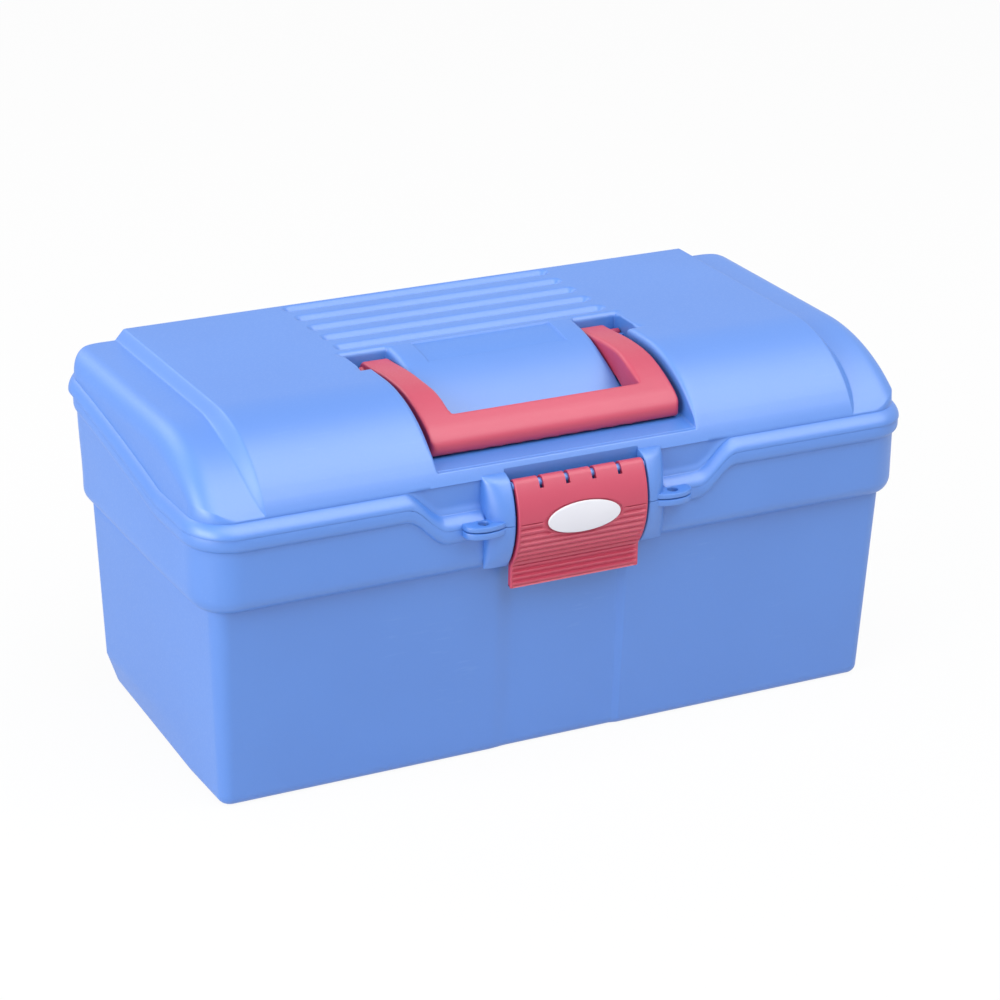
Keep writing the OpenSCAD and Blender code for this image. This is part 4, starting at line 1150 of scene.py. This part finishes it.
def ear_outline():
    """Corners of the ear seen from above, measured from the hole's axis."""
    a = np.radians(np.arange(0.0, 360.0, 6.0))
    across = np.where(np.cos(a) > 0, EAR_REACH, EAR_IN) * np.cos(a)
    deep = np.where(np.sin(a) < 0, EAR_FRONT, EAR_DEEP) * np.sin(a)
    return np.column_stack([across, np.minimum(deep, EAR_BACK - EAR_Y)])


def cross(a, b):
    return a[..., 0] * b[..., 1] - a[..., 1] * b[..., 0]


def reach_to(outline, a):
    """Distance from the axis to a closed outline in the direction a."""
    way = np.array([math.cos(a), math.sin(a)])
    ahead = np.roll(outline, -1, axis=0)
    faced = (cross(outline, way) >= -TINY) & (cross(way, ahead) >= -TINY)
    start = outline[faced]
    end = ahead[faced]
    return np.min(cross(start, end) / cross(way, end - start))


def add_ear(skin, z0, z1):
    """Padlock ear with its hole and rounded edges, right-hand side."""
    angles = np.radians(np.arange(0.0, 360.0, 5.0))
    hole = np.full(len(angles), HOLE_R)
    outline = ear_outline()
    ring = np.array([reach_to(outline, a) for a in angles])
    rows = []
    for radius, outward, base, upward, order in ((hole, 1.0, z0, 1.0, 1), (hole, 1.0, z1, -1.0, -1),
                                                 (ring, -1.0, z1, -1.0, 1), (ring, -1.0, z0, 1.0, -1)):
        for inset, rise in EAR_ROUND[::order]:
            r = radius + outward * inset
            rows.append(level(EAR_X + r * np.cos(angles), EAR_Y + r * np.sin(angles), base + upward * rise))
    rows.append(rows[0])
    skin.lattice(np.array(rows), closed=True)


def make_cheeks():
    upper = Skin()
    head = (CHEEK_HEAD, HEAD_FALL)
    add_cheek(upper, DIP_Z + MEET_GAP, CHEEK_TOP, LID_FRONT + FRONT_STEP, MEET_END, head)
    add_ear(upper, DIP_Z + 2.0 * MEET_GAP, EAR_HIGH)
    lower = Skin()
    add_cheek(lower, CHEEK_LOW, DIP_Z - MEET_GAP, -BAND_W, (CHEEK_FOOT, FOOT_FALL), MEET_END)
    add_ear(lower, EAR_LOW, DIP_Z - 2.0 * MEET_GAP)
    blue_pair("lid_cheek", upper, "lid", "lid_cheek")
    blue_pair("tub_cheek", lower, "tub", "tub_cheek")


make_latch()
make_badge()
make_cheeks()


# Carry handle

HANDLE_HALF = 69.6
ARM_IN = 54.3
ARM_IN_FRONT = 52.8
ARM_T = 9.4
ARM_SLOT_GAP = 1.0
ARM_OUT_R = 1.5
ARM_IN_R = 2.2
PEG_Y = 5.71
PEG_Z = 182.3
PEG_R = 2.0
PEG_END = 77.9
BOSS_R = 2.4
BOSS_END = 72.2
ARM_END_R = 4.7
GRIP_FRONT = -74.2
GRIP_BACK = -61.0
GRIP_LOW = 163.3
NOSE_L = 7.0
NOSE_Z = 167.2
CHIN_L = 2.2
TAIL_R = 1.3
CORNER_TURN = 3.0
CORNER_REACH = 3.0 * CORNER_TURN
FINGER_PITCH = 10.8
FINGER_D = 0.4
FINGER_FULL = 0.8
FINGER_END = 4.0
ARM_DEEP_Y = -6.0
ARM_DEEP_RUN = 10.0
ARM_NARROW_Y = -30.0
ARM_NARROW_RUN = 20.0
GRIP_RUN = 6.0
INNER_RUN = 4.0
TAIL_RUN = 3.0
TAIL_PAST = 1.0
HALF_SHARE = 0.48
ROOT_IN = 2.0
HANDLE_TOP = np.array([(GRIP_FRONT, 172.6), (-70.0, 175.5), (-67.0, 177.2), (-62.0, 179.9), (-56.3, 182.6),
                       (-48.0, 185.7), (-40.0, 187.6), (-30.0, 188.4), (-18.7, 188.5), (-5.0, 187.6),
                       (1.0, 187.1), (PEG_Y, 187.0)])
PEG = [(HANDLE_HALF - ROOT_IN, PEG_R), (PEG_END - 0.6, PEG_R), (PEG_END - 0.2, PEG_R - 0.2),
       (PEG_END, PEG_R - 0.6)]
BOSS = [(HANDLE_HALF - ROOT_IN, BOSS_R), (BOSS_END - 1.4, BOSS_R), (BOSS_END - 0.7, BOSS_R - 0.2),
        (BOSS_END - 0.2, BOSS_R - 0.7), (BOSS_END, BOSS_R - 1.4)]


def smooth_through(table, ys):
    """Heights on a smooth curve through a table of (y, z)."""
    places, heights = table.T
    fine = np.interp(ys, places, heights)
    for width in (2.0, 4.0):
        fine = (fine + np.interp(ys - width, places, heights) + np.interp(ys + width, places, heights)) / 3.0
    return fine


def handle_top(y):
    """Upper side of the handle, rounded over the pivots."""
    over = np.clip(y - PEG_Y, 0.0, ARM_END_R)
    return np.where(y > PEG_Y, PEG_Z + np.sqrt(ARM_END_R ** 2 - over ** 2), smooth_through(HANDLE_TOP, y))


def arm_under(y):
    """Under side of the arms: thin at the pivots, down into the slots in front."""
    over = np.clip(y - PEG_Y, 0.0, ARM_END_R)
    thin = handle_top(np.minimum(y, PEG_Y)) - ARM_T
    deep = np.minimum(thin, slot_at(y) + ARM_SLOT_GAP)
    low = np.maximum(thin + (deep - thin) * ease((ARM_DEEP_Y - y) / ARM_DEEP_RUN), GRIP_LOW)
    return np.where(y > PEG_Y, PEG_Z - np.sqrt(ARM_END_R ** 2 - over ** 2), low)


def handle_under(x, y):
    """Under side: the grip in front with finger bumps, the arms behind."""
    bump = FINGER_D * (1.0 - np.abs(np.sin(math.pi * x / FINGER_PITCH)) ** FINGER_FULL)
    grip = GRIP_LOW + FINGER_D - bump * ease((ARM_IN - np.abs(x)) / FINGER_END)
    return grip + (arm_under(y) - grip) * ease((y - GRIP_BACK) / GRIP_RUN)


def make_handle():
    half = np.concatenate([np.linspace(0.0, ARM_IN - 2.0, 58), [ARM_IN - 0.8],
                           ARM_IN + quarter(ARM_IN_R, 6),
                           np.linspace(ARM_IN + ARM_IN_R, HANDLE_HALF - ARM_OUT_R, 6)[1:-1],
                           HANDLE_HALF - quarter(ARM_OUT_R, 5)[::-1]])
    xs = np.concatenate([-half[:0:-1], half])
    ys = np.concatenate([GRIP_FRONT + quarter(NOSE_L, 12),
                         np.linspace(GRIP_FRONT + NOSE_L, GRIP_BACK - TAIL_R, 8)[1:-1],
                         GRIP_BACK - quarter(TAIL_R, 5)[::-1], np.linspace(GRIP_BACK, PEG_Y, 44)[1:-1],
                         PEG_Y + ARM_END_R * np.sin(np.radians(np.linspace(0.0, 90.0, 10)))])
    x, y = np.meshgrid(xs, ys)
    ax = np.abs(x)
    nose = arc_share(1.0 - (y - GRIP_FRONT) / NOSE_L)
    chin = arc_share(1.0 - (y - GRIP_FRONT) / CHIN_L)
    tail = arc_share(1.0 - (GRIP_BACK - y) / TAIL_R) * (y <= GRIP_BACK)
    tail = tail * ease((ARM_IN + TAIL_PAST - ax) / TAIL_RUN)
    top = handle_top(y) - nose * (HANDLE_TOP[0, 1] - NOSE_Z) - tail * TAIL_R
    low = handle_under(x, y)
    low = low + chin * (NOSE_Z - low) + tail * TAIL_R
    inner = arc_share(1.0 - (ax - ARM_IN) / ARM_IN_R) * (ax >= ARM_IN - NEAR)
    inner = inner * ease((y - GRIP_BACK) / INNER_RUN)
    outer = arc_share(1.0 - (HANDLE_HALF - ax) / ARM_OUT_R)
    most = (top - low) * HALF_SHARE
    fall = np.minimum(np.maximum(inner * ARM_IN_R, outer * ARM_OUT_R), most)
    under_fall = np.minimum(np.maximum(inner, outer) * ARM_OUT_R, most)
    arm_in = ARM_IN + (ARM_IN_FRONT - ARM_IN) * ease((ARM_NARROW_Y - y) / ARM_NARROW_RUN)
    across = np.where(ax < ARM_IN, ax * arm_in / ARM_IN,
                      HANDLE_HALF - (HANDLE_HALF - ax) * (HANDLE_HALF - arm_in) / (HANDLE_HALF - ARM_IN))
    corner = CORNER_TURN * arc_share(1.0 - (y - GRIP_FRONT) / CORNER_TURN)
    across = across - corner * ease((ax - HANDLE_HALF) / CORNER_REACH + 1.0)
    upper = np.stack([np.sign(x) * across, y, top - fall], axis=-1)
    under = np.stack([np.sign(x) * across, y, low + under_fall], axis=-1)
    mid_x = np.abs(xs[:-1] + xs[1:]) / 2
    mid_y = (ys[:-1] + ys[1:]) / 2
    skin = Skin()
    closed_shell(skin, upper, under, (mid_y > GRIP_BACK)[:, None] & (mid_x < ARM_IN)[None, :])
    for side in (-1.0, 1.0):
        for rings in (PEG, BOSS):
            turned_x(skin, [(side * x, r) for x, r in rings], PEG_Y, PEG_Z)
    piece("carry_handle_grip", skin, RED, "handle", ["carry_handle"], 40.0)


make_handle()


# Hinges, catch and the handle's cradles

HINGE_Y = 99.4
HINGE_Z = 168.7
HINGE_X = 115.0
KNUCKLE_R = 4.19
KNUCKLE_L = 16.0
LEAF_H = 14.0
SIDE_GAP = 0.5
OUTER_L = 12.0
HINGE_EDGE = 0.5
LOW_LEAF_WALL = (LEAF_H, 2.6)
LOW_LEAF_FAR = ((-3.0, 2.4), (1.0, 1.0), (3.3, 2.6))
TOP_LEAF_WALL = (2.4, LEAF_H)
TOP_LEAF_FAR = ((3.3, 2.6), (1.0, 1.0))
LEAF_R = 0.8
LEAF_IN = 0.3
FOOT_TOP = 9.4
FOOT_T = 2.2
FOOT_R = 0.6
CATCH = [(-BAND_W, 120.4), (-95.6, 120.4), (-95.6, 122.0), (-BAND_W, 125.4)]
CATCH_HALF = 29.1
CATCH_R = 0.5


def oblong(y0, y1, z0, z1):
    return [(y0, z0), (y1, z0), (y1, z1), (y0, z1)]


def round_bar(skin, x0, x1, y, z, r, edge):
    around = np.radians(np.arange(0.0, 360.0, 9.0))
    loop = np.column_stack([y + r * np.cos(around), z + r * np.sin(around)])
    along_x(skin, loop, x0, x1, edge)


def hinge_leaf(wall, side, heights, far):
    """Outline of a leaf from the wall out to the pin; side is 1 above the pin and -1 below it."""
    corners = [(wall, rise) for rise in heights] + [(HINGE_Y + out, rise) for out, rise in far]
    return rounded([(y, HINGE_Z + side * rise) for y, rise in corners], LEAF_R, 3)


def add_knuckle(skin, centre, length, leaf):
    half = length / 2
    round_bar(skin, centre - half, centre + half, HINGE_Y, HINGE_Z, KNUCKLE_R, HINGE_EDGE)
    along_x(skin, leaf, centre - half + LEAF_IN, centre + half - LEAF_IN, HINGE_EDGE)


def make_hinges():
    low_leaf = hinge_leaf(BAND_W, -1.0, LOW_LEAF_WALL, LOW_LEAF_FAR)
    top_leaf = hinge_leaf(LID_BACK, 1.0, TOP_LEAF_WALL, TOP_LEAF_FAR)
    foot = rounded(oblong(BAND_W, BAND_W + FOOT_T, HINGE_Z - LEAF_H, HINGE_Z - FOOT_TOP), FOOT_R, 3)
    reach = KNUCKLE_L / 2 + SIDE_GAP + OUTER_L
    for name, side in (("left", -1.0), ("right", 1.0)):
        x = side * HINGE_X
        low = Skin()
        for end in (-1.0, 1.0):
            add_knuckle(low, x + end * (reach - OUTER_L / 2), OUTER_L, low_leaf)
        along_x(low, foot, x - reach, x + reach, HINGE_EDGE)
        blue_piece("tub_hinge_knuckles_" + name, low, "tub", "tub_hinge_" + name)
        top = Skin()
        add_knuckle(top, x, KNUCKLE_L, top_leaf)
        blue_piece("lid_hinge_knuckle_" + name, top, "lid", "lid_hinge_" + name)


def make_catch():
    skin = Skin()
    along_x(skin, rounded(CATCH, CATCH_R, 3), -CATCH_HALF, CATCH_HALF, CATCH_R)
    blue_piece("catch_lip", skin, "tub", "tub_catch")


SEAT_X0 = 72.8
SEAT_X1 = 78.8
SEAT_POST = 2.3
SEAT_HALF = 4.4
SEAT_SINK = 0.6
SEAT_GAP = 0.1
SEAT_RISE = 0.2
SEAT_EDGE = 0.4


def make_seats():
    """Open cradles for the handle's pegs: a web between two posts."""
    skin = Skin()
    floor = float(slot_at(np.array(PEG_Y))) - SEAT_SINK
    low = PEG_Z - PEG_R - SEAT_GAP
    high = PEG_Z + SEAT_RISE
    web = SEAT_HALF - MEET_GAP
    for y0, y1, top, inset in ((-web, web, low, MEET_GAP), (-SEAT_HALF, -SEAT_POST, high, 0.0),
                               (SEAT_POST, SEAT_HALF, high, 0.0)):
        loop = rounded(oblong(PEG_Y + y0, PEG_Y + y1, floor + inset, top), SEAT_EDGE, 3)
        along_x(skin, loop, SEAT_X0 + inset, SEAT_X1 - inset, SEAT_EDGE)
    blue_pair("handle_cradle", skin, "lid", "handle_seat")


make_hinges()
make_catch()
make_seats()


# Solids that keep their shape and get a finish

for node, finish in (("latch_bar", BLUE), ("lift_out_tray", GREY), ("hinge_pin_left", STEEL),
                     ("hinge_pin_right", STEEL)):
    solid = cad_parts[node]
    solid.data.materials.clear()
    solid.data.materials.append(finish)


# Camera at the photograph's viewing angle

LENS = 120.587
TARGET = Vector((37.72, 0.0, 91.21)) * MM
DISTANCE = 1766.28 * MM
AZIMUTH = math.radians(-28.41)
ELEVATION = math.radians(22.32)
ROLL = math.radians(1.36)
SHIFT_X = -0.05234
SHIFT_Y = 0.00842


def add_camera():
    back = Vector((math.sin(AZIMUTH) * math.cos(ELEVATION), -math.cos(AZIMUTH) * math.cos(ELEVATION),
                   math.sin(ELEVATION)))
    right = Vector((math.cos(AZIMUTH), math.sin(AZIMUTH), 0.0))
    up = back.cross(right)
    turned_right = right * math.cos(ROLL) + up * math.sin(ROLL)
    turned_up = up * math.cos(ROLL) - right * math.sin(ROLL)
    data = bpy.data.cameras.new("studio camera")
    data.sensor_width = 36.0
    data.lens = LENS
    data.shift_x = SHIFT_X
    data.shift_y = SHIFT_Y
    data.clip_start = 0.05
    data.clip_end = 30.0
    camera = bpy.data.objects.new("studio_camera", data)
    turn = Matrix((turned_right, turned_up, back)).transposed().to_4x4()
    camera.matrix_world = Matrix.Translation(TARGET + back * DISTANCE) @ turn
    bpy.context.scene.collection.objects.link(camera)
    bpy.context.scene.camera = camera


# Floor, world and lamps

FLOOR_HALF = 6.0
FLOOR_DROP = 0.2 * MM
GLOW_SHARE = 0.94
WORLD_LIGHT = 0.30


def seen_or_mirrored(tree):
    path = tree.nodes.new("ShaderNodeLightPath")
    first = math_node(tree, "MAXIMUM", path.outputs["Is Camera Ray"], path.outputs["Is Glossy Ray"])
    return math_node(tree, "MAXIMUM", first, path.outputs["Is Transmission Ray"])


def add_floor():
    mesh = bpy.data.meshes.new("floor")
    corners = [(FLOOR_HALF * x, FLOOR_HALF * y, 0.0) for x, y in ((-1, -1), (1, -1), (1, 1), (-1, 1))]
    mesh.from_pydata(corners, [], [(0, 1, 2, 3)])
    floor = bpy.data.objects.new("floor", mesh)
    floor.location = (0.0, 0.0, -FLOOR_DROP)
    bpy.context.scene.collection.objects.link(floor)
    paint, tree, skin = new_finish("pale studio floor")
    feed(tree, skin, {"Base Color": (0.70, 0.70, 0.71, 1.0), "Roughness": 0.9, "Specular IOR Level": 0.1})
    glow = add_node(tree, "Emission", {"Strength": 1.0})
    share = math_node(tree, "MULTIPLY", seen_or_mirrored(tree), GLOW_SHARE)
    blend = add_node(tree, "MixShader", {0: share, 1: skin.outputs["BSDF"], 2: glow.outputs["Emission"]})
    feed(tree, tree.nodes["Material Output"], {"Surface": blend.outputs["Shader"]})
    mesh.materials.append(paint)


def add_world():
    world = bpy.data.worlds.new("studio")
    bpy.context.scene.world = world
    world.use_nodes = True
    tree = world.node_tree
    light = tree.nodes["Background"]
    feed(tree, light, {"Color": (0.97, 0.98, 1.0, 1.0), "Strength": WORLD_LIGHT})
    white = add_node(tree, "Background", {"Color": (1.0, 1.0, 1.0, 1.0), "Strength": 1.0})
    blend = add_node(tree, "MixShader", {0: seen_or_mirrored(tree), 1: light.outputs["Background"],
                                         2: white.outputs["Background"]})
    feed(tree, tree.nodes["World Output"], {"Surface": blend.outputs["Shader"]})


def add_lamp(name, place, aim, size, power):
    data = bpy.data.lights.new(name, "AREA")
    data.shape = "RECTANGLE"
    data.size = size[0]
    data.size_y = size[1]
    data.energy = power
    lamp = bpy.data.objects.new(name, data)
    lamp.location = place
    lamp.rotation_euler = (Vector(aim) - Vector(place)).to_track_quat("-Z", "Y").to_euler()
    bpy.context.scene.collection.objects.link(lamp)


add_camera()
add_floor()
add_world()
CENTRE = (0.0, 0.0, 0.1)
add_lamp("left_softbox", (-1.8, -0.4, 0.8), CENTRE, (1.7, 1.5), 36.0)
add_lamp("top_softbox", (0.45, -0.85, 1.85), CENTRE, (2.5, 2.2), 49.0)
add_lamp("front_fill", (0.9, -1.9, 0.4), CENTRE, (1.2, 1.2), 1.5)
add_lamp("back_softbox", (-0.9, 1.75, 1.85), CENTRE, (1.4, 1.3), 14.0)

view = bpy.context.scene.view_settings
view.view_transform = "Standard"
